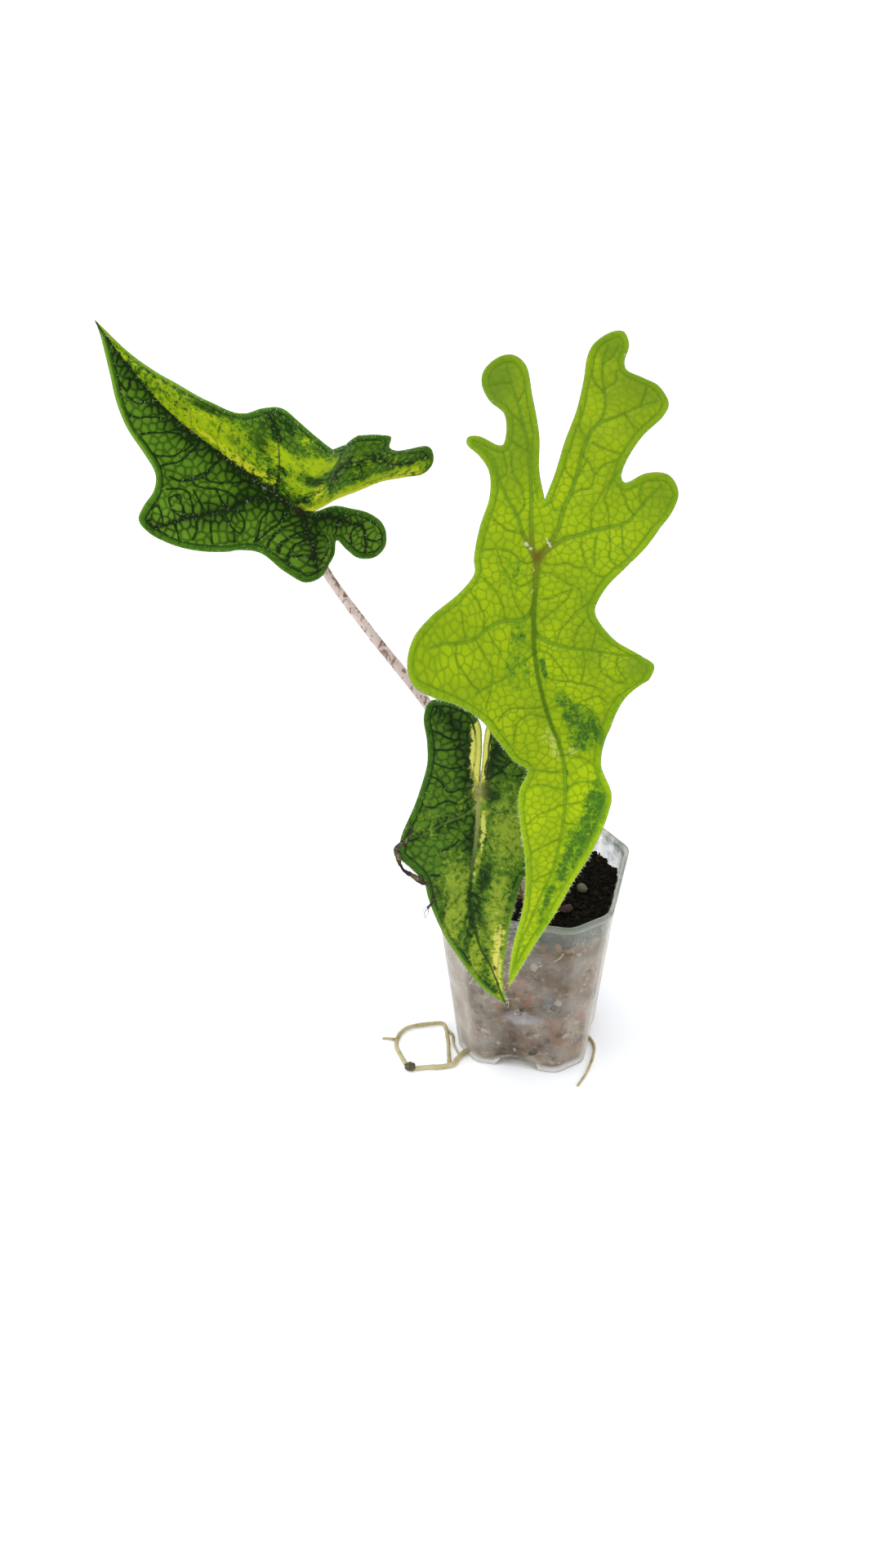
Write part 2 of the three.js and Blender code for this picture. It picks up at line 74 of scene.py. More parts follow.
# Leaves. spine: the midrib in space. stalk_point: which of its points the stalk holds. face: where the
# upper face looks there. folds: [along, how far the right half folds back, the left one], in degrees.
# curl: degrees to a millimetre across. wave: [height, length, shift] of the waves along the margins.
# All else is drawn flat, seen on the upper face with the tip hanging. right, left and every vein list
# their points one after another, as across, along, across, along.
# veins: [half-width at the start, half-width at the end, points]. side_veins: points only.
# Marks: [across, along, half-width, half-length, turn in degrees, strength]. The white marks are painted highlights
# (glints), partly milky scars.
# plain_half is 1 where the half below the midrib has no lime. fuzz is how hairy the upper veins are.
FRONT_LEAF = {
    "node": "blade_front",
    "slot": "leaf_lime",
    "spine": [
        [7, 26, 287], [3, 1, 261], [0, -11, 245], [-2, -20, 231], [-3, -38, 204], [1, -48, 187], [5, -54, 176],
        [7, -58, 167], [7, -62, 151], [1, -67, 113], [-5, -69, 95], [-11, -70, 77],
    ],
    "stalk_point": 3,
    "face": [0, -0.87, 0.5],
    "folds": [[-60, 4, 4], [0, 12, 12], [65, 12, 12], [85, 22, 20], [169, 26, 24]],
    "curl": -0.35,
    "wave": [1.4, 52, 0.8],
    "right": [
        0, -21, 2, -30, 4, -42, 7, -54, 8.5, -66, 9, -75, 11, -80, 17, -85, 21, -85.5, 23.5, -81, 22.5, -75,
        23.5, -72, 30, -70, 36, -68, 40, -62, 38, -56, 31, -47, 26.5, -38, 25.5, -32.5, 27, -31, 34, -35, 42, -35.5,
        46.5, -31, 46, -25, 39, -11, 33, -1, 25, 9, 21.5, 17, 22, 20, 28, 29.5, 37, 42, 40.5, 48, 38, 52, 26, 60,
        17.5, 68, 14, 75, 17.5, 84, 16.5, 91, 12.5, 106, 8.5, 118, 6, 129, 3.5, 141, 2, 153, 0, 169,
    ],
    "left": [
        0, -21, -3.5, -31, -5, -43, -9, -58, -12.5, -69, -17, -72, -22, -71, -27, -66, -27.5, -61, -24, -54.5,
        -18.5, -50, -17, -45, -17.5, -38, -19, -37.5, -26.5, -40, -30, -39, -30, -36, -25, -32, -21, -27, -19.5, -19,
        -21.5, -8, -22.5, 2, -22, 7, -27, 14, -37, 22, -43, 28, -45.5, 34, -44, 38, -38, 41.5, -29.5, 45.5,
        -23.5, 51.5, -19.5, 60, -17, 68, -13, 73.5, -16.5, 81, -17, 87, -15, 98, -12, 109, -9.5, 121, -8, 132,
        -6.5, 144, -4, 156, 0, 169,
    ],
    "veins": [
        [1.0, 0.3, [0, 0, 0, 30, 0, 60, 0.4, 64, 0.8, 71, 0.9, 86, 1.1, 96, 0.8, 105, 0.1, 117, -2.1, 128,
            -3, 141, -2.1, 156, -0.6, 168]],
        [0.9, 0.35, [0, 0, 4, -6, 6, -11, 7, -18, 9, -26, 10, -33, 11, -40, 13, -47, 16, -51, 17, -59, 15, -68,
            15, -75, 16, -80]],
        [0.55, 0.3, [15, -50, 19, -52, 24, -55, 30, -59, 36, -62]],
        [0.9, 0.35, [0, 0, 4, -4, 9, -8, 14, -10, 20, -13, 26, -15, 30, -17, 33, -22, 36, -27, 40, -32]],
        [0.8, 0.3, [0, 0, -1.3, -1, -3, -8, -4, -15, -5, -22, -7, -31, -8, -37, -11, -46, -14, -55, -17, -62,
            -19, -67]],
        [0.7, 0.3, [-1, -1, -2, -2, -6, -8, -9, -14, -13, -19, -17, -25, -20, -32, -25, -36, -28, -38]],
        [0.8, 0.3, [0.2, 24, 0.7, 26, 4, 29, 8, 31, 14, 33, 20, 35, 25, 37, 31, 40, 37, 42]],
        [0.8, 0.3, [-0.2, 17, -1.2, 19, -4, 22, -8, 22, -13, 23, -17, 25, -21, 28, -27, 29, -32, 29, -37, 30]],
    ],
    "side_veins": [
        [11, -38, 14, -35, 16, -32, 18, -35, 22, -37, 24, -38], [14, -43, 18, -41, 24, -40],
        [9, -24, 12, -26, 15, -27, 16, -32], [18, -12, 17, -18, 18, -22, 20, -27, 23, -33],
        [24, -14, 23, -19, 21, -24, 22, -29, 24, -34], [32, -20, 28, -25, 26, -28, 25, -30],
        [35, -24, 33, -27, 33, -31], [9, -28, 13, -37], [7, -18, 4, -18, 1.9, -22], [9, -29, 6, -32, 5, -38],
        [12, -44, 9, -48, 8, -56], [-5, -22, -2.7, -25], [-8, -37, -13, -39, -16, -42, -17, -49],
        [-11, -46, -15, -50, -18, -53], [-14, -55, -12, -60, -13, -65], [-17, -62, -21, -61, -25, -60],
        [-17, -25, -15, -28, -16, -32, -17, -35], [-9, -14, -7, -18, -9, -24, -13, -29, -14, -35],
        [-6, -8, -10, -8, -15, -10, -19, -13], [16, -63, 20, -67, 20, -71], [15, -73, 18, -76, 20, -80],
        [24, -55, 27, -51, 29, -50], [30, -59, 31, -65, 32, -68], [16, -62, 12, -66, 11, -70],
        [0.7, 1, 5, 2, 10, 1, 14, 2, 18, 2], [15, -9, 16, -2, 18, 2, 22, 5, 24, 5], [20, -10, 20, -4, 20, 1],
        [24, -13, 25, -7, 26, -1, 30, 1], [28, -15, 29, -11, 30, -6, 33, -2],
        [1.3, 5, 5, 5, 9, 7, 13, 9, 16, 11, 17, 15], [1.6, 14, 5, 14, 9, 12, 13, 10], [2.2, 22, 6, 19, 9, 16, 13, 11],
        [8, 30, 10, 25, 14, 20, 18, 16, 22, 15], [1.6, 32, 6, 35, 8, 39, 10, 44, 10, 46], [17, 34, 17, 40, 14, 48],
        [2.9, 43, 7, 45, 11, 46, 14, 48, 17, 49, 21, 52], [23, 36, 22, 45, 24, 48, 26, 50, 30, 52],
        [29, 39, 28, 45, 30, 51], [0.2, 54, 6, 54, 11, 55, 14, 58, 15, 61, 17, 63], [14, 54, 19, 54, 21, 58],
        [20, 35, 21, 29, 22, 25], [14, 33, 15, 26, 18, 22], [-0.5, 1, -5, 2, -9, -1, -15, -2, -20, -1],
        [-0.1, 7, -5, 10, -9, 8, -12, 4, -15, -2], [-3, 21, -6, 17, -8, 13, -9, 9],
        [-10, 23, -11, 18, -13, 14, -17, 10, -20, 8], [-18, 25, -18, 21, -20, 17, -23, 13],
        [-24, 28, -25, 24, -26, 20], [-17, 25, -14, 30, -12, 33],
        [0.7, 33, -4, 36, -7, 37, -12, 40, -16, 41, -23, 43], [-21, 28, -18, 33, -16, 36, -17, 41, -19, 45, -21, 48],
        [-1.3, 56, -7, 54, -11, 55, -13, 57, -15, 61], [-1, 53, -8, 51, -12, 50, -15, 51, -18, 53],
        [0.4, 33, -4, 29, -8, 26], [-28, 29, -28, 33, -25, 38, -22, 42], [0.8, 71, 6, 72, 10, 74, 13, 77],
        [0.3, 77, -4, 76, -10, 74], [0.5, 84, -6, 81, -11, 80, -14, 81], [0.9, 89, -6, 91, -10, 93, -13, 96],
        [1.1, 103, -4, 105, -9, 107, -11, 113], [0.1, 117, -4, 119, -8, 121, -8, 126],
        [0.8, 83, 5, 81, 9, 80, 13, 81], [1.1, 89, 5, 88, 9, 86, 13, 87], [0.8, 96, 5, 96, 9, 94, 13, 92],
        [1.2, 104, 4, 101, 7, 102, 9, 104, 11, 100], [0.6, 112, 3, 112, 6, 110, 9, 110],
        [-1.3, 124, 2.8, 123, 6, 119], [-3, 135, 1.2, 131, 4, 128],
    ],
    "dark": [
        [2.2, 39, 1.2, 5, 6, 0.95], [6.5, 51, 2.8, 3.2, 0, 0.72], [8, 59, 4.4, 7, -20, 0.8],
        [11, 65, 4, 7, -35, 0.86], [15.5, 68, 1.8, 7, 8, 0.85], [-5.5, 26.5, 3.5, 4.5, 0, 0.6],
        [-7, 39, 5.5, 8, 0, 0.54], [-8.5, 5, 5, 6, 0, 0.48], [12, 87, 4.6, 9, -8, 0.95], [7.5, 100, 4, 8, -15, 0.82],
        [5, 112, 3.2, 9, -8, 0.76], [1.5, 135, 2.6, 12, 8, 0.66], [1.6, 77, 0.9, 1.4, 0, 0.9],
        [1.6, 83, 0.8, 1.6, 0, 0.9], [2.4, 121, 1.4, 12, -10, 0.66], [-1.2, 152, 1.6, 12, 4, 0.5],
        [11, 99, 1.8, 12, -18, 0.7],
    ],
    "lime": [],
    "yellow": [[-1.4, 67, 1.6, 6, 0, 0.85], [5, 70, 3.6, 1.7, 0, 0.72], [-3.5, 63, 2, 2.5, 0, 0.45]],
    "dull": [
        [30, -66, 9, 7, 0, 0.8], [-22, -62, 8, 11, 0, 1], [40, -29, 6, 7, 0, 0.7], [36, 46, 6, 6, 0, 0.7],
        [16, -80, 6, 5, 0, 0.8], [-18, -38, 11, 14, 0, 0.7], [28, -34, 10, 10, 0, 0.3], [22, 24, 10, 18, 0, 0.5],
    ],
    "white": [
        [-4.4, -4.6, 0.8, 1.2, 60, 1], [-2.7, -3.2, 0.9, 0.8, 0, 0.9], [3.4, -5.8, 0.6, 2.3, 32, 1],
        [-1, 4, 0.25, 1.1, 10, 1], [-0.9, 11.6, 0.3, 1, -20, 1],
    ],
    "plain_half": 0,
    "fuzz": 0.0,
}
LEFT_LEAF = {
    "node": "blade_left",
    "slot": "leaf_dark",
    "spine": [
        [-50, 46, 219], [-74, 29, 226], [-83, 22.5, 227.5], [-89, 21, 229.5], [-98, 23.5, 235], [-115, 29, 246],
        [-136, 37, 261], [-152, 45, 278], [-162, 51, 291],
    ],
    "stalk_point": 3,
    "face": [-0.25, -0.95, 0.17],
    "folds": [[-15, 13, 15], [0, 28, 32], [60, 28, 32], [102, 24, 28]],
    "curl": -0.1,
    "wave": [0.9, 40, 0.5],
    "right": [
        0, -7, -1, -15, 1, -24, 3, -32, 7, -39, 12, -42, 17, -42, 20.5, -38, 20.5, -30, 17, -24, 13, -18.5, 19, -18,
        24, -12, 26.5, -6, 23, -1.5, 20.5, 2, 24, 7.5, 32, 18.5, 37, 29, 38.5, 38, 37, 43, 32, 44.5, 25, 45, 20, 48,
        17, 55, 14.5, 65, 11, 74, 7.5, 81, 3.5, 90, 1, 97, 0, 101,
    ],
    "left": [
        0, -7, -4, -16, -7, -23, -11.5, -32, -13, -42, -14.5, -51, -19, -53, -25, -50.5, -27.5, -47, -27, -38,
        -27, -32, -29, -28, -34, -26.5, -35, -22, -35, -13, -38, -4, -42, 7, -44, 16, -43, 22.5, -35, 29.5, -27, 34,
        -24, 38, -22, 46, -17.5, 60, -11, 71.5, -6, 82, -2, 94, 0, 101,
    ],
    "veins": [
        [1.3, 0.3, [0, -1, 0, 20, 0, 50, 0, 75, 0, 100]],
        [0.9, 0.4, [0, 2, -0.7, 5, 0.2, 9, 4, 13, 8, 17, 14, 20, 20, 25, 26, 30, 33, 35, 36, 38, 35, 40]],
        [0.8, 0.35, [0, 0, 0.1, -1, 2.1, -4, 7, -5, 12, -7, 18, -8, 21, -8]],
        [0.8, 0.35, [0, 0, 0.9, -2, 1.9, -6, 2.5, -11, 5, -19, 7, -26, 8, -30, 13, -32, 18, -33]],
        [0.6, 0.3, [0, 1, -1.5, 1, -10, -3, -16, -9, -22, -11, -22, -18, -24, -24, -20, -34, -20, -42, -22, -48]],
        [0.6, 0.3, [0.1, 10, -12, 12, -25, 17, -32, 21, -35, 25]],
    ],
    "side_veins": [
        [3, 12, 6, 8, 11, 8, 15, 6, 19, 5], [12, 19, 14, 14, 16, 12, 19, 12, 19, 15, 16, 21], [20, 14, 23, 12],
        [20, 24, 24, 21, 28, 18], [24, 28, 27, 25, 31, 24], [30, 32, 32, 30, 35, 27],
        [3, -4, 5, -1, 8, 1, 13, 2, 17, 2], [7, -5, 9, -2, 13, 0, 18, 0], [10, -6, 12, -3, 16, -2, 21, -2],
        [3, 2, 8, 3, 13, 4, 19, 5], [11, -7, 9, -9, 12, -13, 16, -13, 19, -10], [19, -8, 16, -5, 17, -3],
        [5, -19, 9, -18, 11, -16], [8, -30, 9, -26, 12, -25, 16, -27], [13, -32, 14, -37, 13, -40],
        [2.1, -9, 6, -8, 10, -10], [0.3, 17, 1.8, 20, 6, 25, 9, 29, 11, 34],
        [4, 13, 9, 18, 9, 23, 11, 28, 14, 33, 14, 37], [14, 20, 13, 24, 11, 28], [20, 25, 18, 30, 16, 34],
        [26, 30, 23, 34, 21, 37, 24, 39, 27, 35], [1.3, 43, 10, 44, 16, 48], [0.8, 33, 7, 34, 11, 36, 16, 39],
        [2.9, 44, 8, 46, 11, 47, 14, 51, 15, 53], [2.9, 33, 10, 34, 13, 36, 16, 39, 18, 44],
        [2.7, 58, 6, 62, 9, 64, 11, 67], [3, 50, 6, 54, 10, 58, 13, 60], [2.2, 67, 6, 68, 7, 72],
        [1.9, 77, 6, 74, 6, 78], [23, 29, 20, 32, 18, 36, 22, 42], [27, 31, 26, 37, 24, 39, 22, 38, 23, 34, 27, 31],
        [34, 35, 30, 38, 29, 41, 32, 42], [29, 32, 32, 30, 34, 28], [0, 11, -8, 15, -17, 18, -24, 17],
        [0.8, 23, -7, 28, -16, 32], [0.9, 35, -7, 38, -16, 39], [1.2, 47, -6, 50, -14, 53],
        [-14, -13, -25, -8, -33, -6], [-22, -18, -15, -22, -14, -18],
    ],
    "dark": [
        [-1.6, 6, 1.2, 8, 0, 0.6], [-19, -0.5, 3.6, 5.5, 0, 0.7], [-19.5, 24, 4.5, 6, 0, 0.62],
        [-38, 16.5, 3.5, 3, 0, 0.7], [-39, 22, 3, 5, 0, 0.7], [-17.5, 47, 1.8, 10, 20, 0.7], [-11, 14, 3, 4, 0, 0.5],
        [-28, 24, 5, 7, 0, 0.4], [-9, 56, 2.4, 5, 20, 0.5], [-12, 33, 3, 3, 0, 0.5],
    ],
    "lime": [
        [-4.5, 42, 4.2, 17, 6, 0.9], [-11, 22, 15, 18, 10, 0.5], [-22.5, 12, 4.6, 9, 0, 1],
        [-12.5, 3, 4.2, 6, 0, 0.8], [-8, 48, 6, 12, 10, 0.56], [-28.5, 1, 6, 6.5, 0, 1], [-37, 9.5, 3.5, 4, 0, 0.65],
        [-8, 66, 10, 30, 10, 0.56], [-2, 93, 3, 9, 0, 0.8], [-11, -6, 7, 3.4, 20, 0.8], [-18, -47, 4, 4, 0, 0.7],
        [-22, -24, 9, 14, 0, 0.34], [-9.5, -25, 4.6, 22, 20, 1], [-13, 42, 5, 16, 20, 0.5], [-1.5, -3, 2, 6, 15, 0.8],
    ],
    "yellow": [
        [-4.6, 38, 2.6, 10, 5, 0.66], [-3.6, 24, 2.8, 8, 6, 0.75], [-8, 14, 6, 7, 0, 0.42], [-36, 8, 3, 4, 0, 0.3],
        [-12, -4.5, 5.5, 1.6, 12, 0.8], [-9.4, -29, 3, 22, 20, 1], [-2.5, -10, 1.6, 9, 18, 1],
        [-12, 52, 1.2, 12, 18, 0.4],
    ],
    "dull": [[14, -32, 9, 11, 0, 1], [22, -11, 6, 7, 0, 0.5], [30, 34, 8, 8, 0, 0.6], [16, 0, 6, 8, 0, 0.4]],
    "white": [[0.6, 14, 0.9, 1.5, 0, 0.7]],
    "plain_half": 1,
    "fuzz": 0.2,
}
LOW_LEAF = {
    "node": "blade_low",
    "slot": "leaf_dark",
    "spine": [
        [-20, -30, 176], [-21, -36, 157], [-22, -40, 144], [-22, -45, 129], [-24, -50, 113], [-23, -53, 97],
        [-18, -56, 76], [-11, -58, 59],
    ],
    "stalk_point": 2,
    "face": [0, -0.98, 0.2],
    "folds": [[-33, 6, 6], [0, 12, 12], [89, 16, 16]],
    "curl": -0.35,
    "wave": [1, 36, 0.8],
    "right": [
        0.1, -2.5, 0.15, -11, 0.25, -20, 1, -26, 4, -30.5, 12, -34.5, 20, -33, 22, -27, 21, -18, 20.5, -9, 23, 1,
        28, 12, 29, 19, 25, 24, 19, 28.5, 17.5, 35, 15.5, 43, 12.5, 53, 8.5, 65, 3, 79.5, 0, 89,
    ],
    "left": [
        -0.1, -2.5, -0.15, -11, -0.3, -20, -1.4, -27, -6, -33, -15, -35.5, -20, -34.5, -22, -29, -20.5, -20, -20, -10,
        -22, -1, -28, 12, -29, 21, -28.5, 26.5, -23, 30, -18.5, 33, -17, 38, -15.5, 43, -13, 51.5, -9, 64.5, -5, 78,
        0, 89,
    ],
    "veins": [
        [0.9, 0.3, [-0.3, -2, -0.3, 4, -0.6, 10, -0.9, 18, -0.7, 25, -0.9, 33, -1.2, 41, -1.1, 48, -0.9, 55,
            -0.6, 62, 1, 71, 0, 88]],
        [0.8, 0.35, [0, -1, -4, -10, -6, -17, -7, -22, -9, -25, -13, -29, -18, -32]],
        [0.8, 0.35, [0, -1, 4, -10, 6, -18, 9, -25, 15, -31]],
        [0.5, 0.3, [-0.5, 3, -1, 4, -2.9, 6, -7, 8, -13, 10, -18, 13, -25, 18]],
        [0.5, 0.3, [0.3, 2.5, 1.2, 3, 4, 6, 9, 8, 15, 11, 25, 17]],
    ],
    "side_veins": [
        [-8, -21, -12, -21, -16, -23, -20, -24], [-8, -20, -9, -18, -13, -17, -18, -17],
        [-5, -11, -9, -10, -13, -10, -18, -12], [-3, -3, -7, -2, -11, -1, -15, -5, -19, -6],
        [-2.9, 1, -7, 3, -12, 2, -17, 3.5, -21, 3], [-12, -26, -12, -30], [-1.3, 17, -6, 17, -10, 21, -13, 23],
        [-0.6, 27, -6, 28, -11, 31, -16, 31], [-1.1, 38, -6, 40, -10, 43], [-1.5, 48, -6, 49, -10, 51],
        [0.3, -2, 4, -7, 8, -11, 11, -14], [1.4, -11, 3, -16, 5, -18], [-0.8, 13, 5, 16, 10, 18, 15, 22],
        [-0.5, 25, 5, 32, 8, 37], [-0.7, 38, 4, 41, 10, 41, 13, 37], [-1, 49, 3, 51, 8, 50], [-0.9, 57, 3, 60, 7, 59],
        [8, -21, 12, -20, 17, -22], [5, -12, 10, -9, 17, -10], [9, 9, 13, 2, 19, -2],
    ],
    "dark": [
        [4.6, -0.5, 3.8, 2.4, -10, 0.95], [4.6, 31, 2.8, 6.5, -12, 0.8], [2.4, 50, 1.9, 12, 6, 0.56],
        [1.2, 66, 1.5, 9, 8, 0.5], [4.4, -13, 2.4, 9, -20, 0.75], [-3, 20, 1.6, 12, 0, 0.45],
        [-1.6, 44, 0.9, 9, 0, 0.7], [-13, 46, 1.8, 12, -22, 0.6], [-8.2, 67, 1.6, 17, -20, 0.62],
    ],
    "lime": [
        [-12, 16, 12, 14, 0, 0.2], [-20, 7, 6, 10, 0, 0.24], [-8, 44, 5.5, 13, -16, 0.86], [9, 15, 7, 11, 0, 0.62],
        [16, 12, 10, 12, 0, 0.6], [-4, 65, 3.6, 12, -14, 0.72], [9.5, 42, 4, 10, -14, 0.66], [6, 54, 5, 13, -12, 0.8],
        [-7, 30, 7, 6, 0, 0.6], [-1.6, -14, 1.4, 16, 0, 1], [12, -4, 8, 8, 0, 0.46], [1.6, 79, 2.6, 9, -4, 0.9],
        [4.4, 68, 3.2, 14, -16, 0.9], [9, 34, 5, 9, 0, 0.6], [-6, 3, 3, 3, 0, 0.35], [1.5, 6, 1.5, 9, 0, 0.9],
        [0.8, 28, 1.2, 7, 0, 0.8],
    ],
    "yellow": [
        [-2.1, -17, 2.2, 13, 2, 1.2], [1.4, -15, 1.4, 11, 0, 1.2], [1.6, 13, 0.9, 7, 0, 1],
        [6.4, 61, 2.4, 11, -18, 0.72], [2.6, 75, 2, 10, -12, 0.72], [-0.4, 1, 0.9, 8, 0, 0.7],
        [8, 44, 1.8, 7, -10, 0.3], [9, 26, 2, 4, 0, 0.3], [0.4, 30, 0.7, 5, 0, 0.6],
    ],
    "dull": [[9, 12, 8, 11, 0, 0.6]],
    "white": [[-0.4, 41, 1.5, 0.7, 0, 0.5]],
    "plain_half": 0,
    "fuzz": 0.04,
}
LEAVES = {"front": FRONT_LEAF, "left": LEFT_LEAF, "low": LOW_LEAF}
WITHERED_EDGE = [
    [-25.6, 7], [-25.6, 12.5], [-26.8, 19], [-29.2, 23.4], [-28.4, 27.6], [-26, 30.2], [-22.3, 31.6], [-18.4, 33],
    [-14.4, 34.6], [-13.4, 36.8], [-15.5, 39.8], [-17.4, 41.6],
]
# Threads that hang from the withered edge: where on the blade, and the way from there
WITHERED_THREADS = (
    ([-17.2, 41.4], [[-1.5, 0.5, -3], [-0.6, 0.2, -5.5]]), ([-15.8, 40], [[-2.2, -0.6, -1.6], [-3.4, -0.2, -3.4]]),
    ([-28.8, 25], [[0.4, -0.6, -2.6], [1.4, -1, -4.6]]), ([-28.8, 26], [[-0.2, -1.2, -1.8], [0.8, -1.4, -3.6]]),
    ([-16.8, 41], [[-0.8, -0.8, -3.4], [-2.2, -1, -4.6]]),
)
# The corm's side, as [radius, height]
CORM_PROFILE = [[0, 57], [4, 57.8], [7.4, 61], [9, 66], [9.2, 70], [8.7, 73.5], [7.6, 75.4], [5, 76], [0, 76.1]]
# Each stalk: node, leaf, foot on the corm, points on its way up, radius at the foot and at the tip, sheath height.
STALKS = {
    "stalk_front": ("petiole_front", "front", [2.6, 2.4], [[4, 5, 105], [3, 6, 150], [0, 1, 195]], 3.2, 1.9, 20.0),
    "stalk_left": (
        "petiole_left", "left", [-4.6, 1],
        [[-16, 3, 112], [-41.3, 8, 153.5], [-62.4, 15, 180.5], [-78.5, 24.5, 200.5], [-85, 28, 214]], 3.1, 1.7, 17.0,
    ),
    "stalk_low": (
        "petiole_low", "low", [-0.9, -4.9], [[-6, -7, 98], [-14, -11, 118], [-20, -19, 134]], 2.6, 1.4, 12.0,
    ),
}
ROOT_RING = [
    [-21.3, -14.3, 2], [-24.2, -16.2, 0.9], [-27, -18, 0.3], [-29.2, -21.2, 0.1], [-31, -24.4, 0.1],
    [-34.8, -25.8, 0.1], [-41, -26.2, 0.1], [-48.2, -26.5, 0.2], [-52, -19.5, 0.1], [-54.3, -12, 0.1],
    [-53, -5.5, 0.3], [-49.5, -1.4, 0.3], [-42, 0.8, 0.3], [-35, 1, 0.3], [-33.2, -7.8, 0.1],
    [-32.8, -16, 0.1], [-32.5, -24.5, 0.1],
]
ROOT_SPUR = [[-53.6, -9, 0.3], [-57, -8, 0.2], [-60, -7.6, 0.1]]
ROOT_BRIDGE = [[-34, -2, 0.3], [-31.2, -5.5, 0.1], [-30.6, -11.5, 0.1], [-28.3, -19, 0.2]]
ROOT_NODE = [-48.4, -26.6, 1.9]
ROOT_TIP = [
    [21, -4.6, 5.5], [21.6, -4.8, 1.4], [25.5, -8, 0.2], [27, -13, 0.1], [26.2, -19, 0.1],
    [23, -29, 0.1], [19, -37, 0.1],
]
POT_TURN = math.radians(-12)
POT_CHAMFER_SHARE = 0.18
POT_FLOOR = 1.4
LIP_HEIGHT = 2.4
ARCH_SPAN = 52.0
ARCH_RADIUS = 16.0
ARCH_HEIGHT = 2.6
ARCH_DEPTH = 5.0
ARCH_FADE = 8.0
POT_CORE = 20.0
SOIL_LEVEL = 71.0
SOIL_HEAP = 1.6
SOIL_ROWS = 34
CORM_TOP = 76.0
CORM_REACH = 8.6
SEAT_GAP = 0.3
WALL_ROOTS = 16
# Crumbs of the mix, as [where its share of all crumbs starts, colour]
LOOSE_CRUMBS = (
    (0.0, rgb(4, 5, 2)), (0.5, rgb(9, 9, 5)), (0.78, rgb(18, 14, 8)), (0.88, rgb(16, 22, 8)),
    (0.965, rgb(46, 30, 17)), (0.994, rgb(108, 100, 80)),
)
PRESSED_CRUMBS = (
    (0.0, rgb(48, 36, 28)), (0.2, rgb(88, 70, 54)), (0.48, rgb(112, 94, 78)), (0.68, rgb(112, 64, 28)),
    (0.82, rgb(146, 98, 58)), (0.93, rgb(176, 168, 156)),
)
# Blots in the mix behind the wall, as [colour, middle, radii]
MIX_BLOTS = (
    (rgb(156, 80, 10), (18.7, -23.7, 28), (3.8, 4, 6.5)), (rgb(150, 80, 16), (18.4, -22.5, 10), (3.8, 4, 4.5)),
    (rgb(138, 84, 34), (-29.6, -14.2, 30), (3, 4, 4)), (rgb(84, 46, 40), (-7, -27, 15), (8, 3, 4)),
    (rgb(92, 54, 44), (4.7, -26, 12), (6, 3, 3)), (rgb(84, 90, 106), (5.8, -29.5, 38), (5, 3, 6)),
    (rgb(98, 70, 52), (8, -30, 52), (9, 4, 5)), (rgb(80, 84, 62), (16, -29, 62), (7, 4, 5)),
)

# Gaps along a blade's lines, rows and strays of its inner points as shares of their gap, and for
# each face the gap of its inner points and of the points on its veins
OUTLINE_GAP = 0.42
MARGIN_GAP = 0.12
VEIN_GAP = 0.14
NET_GAP = 0.16
ROW_STEP = 0.866
STRAY = 0.12
UPPER_GAPS = (0.4, 0.28)
LOWER_GAPS = (0.66, 0.42)

CAMERA_PLACE = (-0.0359, -0.7321, 0.6139)
CAMERA_TILT = math.radians(56.1)
LENS = 52.5
LAMP_TARGET = (0, 0, 0.12)
LAMPS = (
    ("softbox_above", (-0.3, -0.2, 1.5), 1.0, 9.0),
    ("softbox_right", (0.9, -0.5, 0.7), 0.7, 2.4),
    ("softbox_left", (-1.0, -0.3, 0.4), 0.7, 2.2),
)


# Sums on sockets
class Value:
    """An output socket that takes part in sums, which become Math nodes."""

    def __init__(self, tree, socket):
        self.tree, self.socket = tree, socket

    def sum(self, operation, other, swap=False):
        first, second = (other, self) if swap else (self, other)
        return self.tree.node("ShaderNodeMath", {"operation": operation}, {0: first, 1: second})

    def __add__(self, other):
        return self.sum("ADD", other)

    def __radd__(self, other):
        return self.sum("ADD", other, True)

    def __sub__(self, other):
        return self.sum("SUBTRACT", other)

    def __rsub__(self, other):
        return self.sum("SUBTRACT", other, True)

    def __mul__(self, other):
        return self.sum("MULTIPLY", other)

    def __pow__(self, other):
        return self.sum("POWER", other)

    def at_most(self, other):
        return self.sum("MINIMUM", other)

    def at_least(self, other):
        return self.sum("MAXIMUM", other)

    def other(self, name):
        """Another output of the node that this value comes from."""
        return Value(self.tree, self.socket.node.outputs[name])

    def step(self, low, high):
        """0 below low and 1 above high, with a soft ramp between them."""
        return self.tree.node(
            "ShaderNodeMapRange", {"interpolation_type": "SMOOTHSTEP"}, {0: self, 1: low, 2: high}
        )


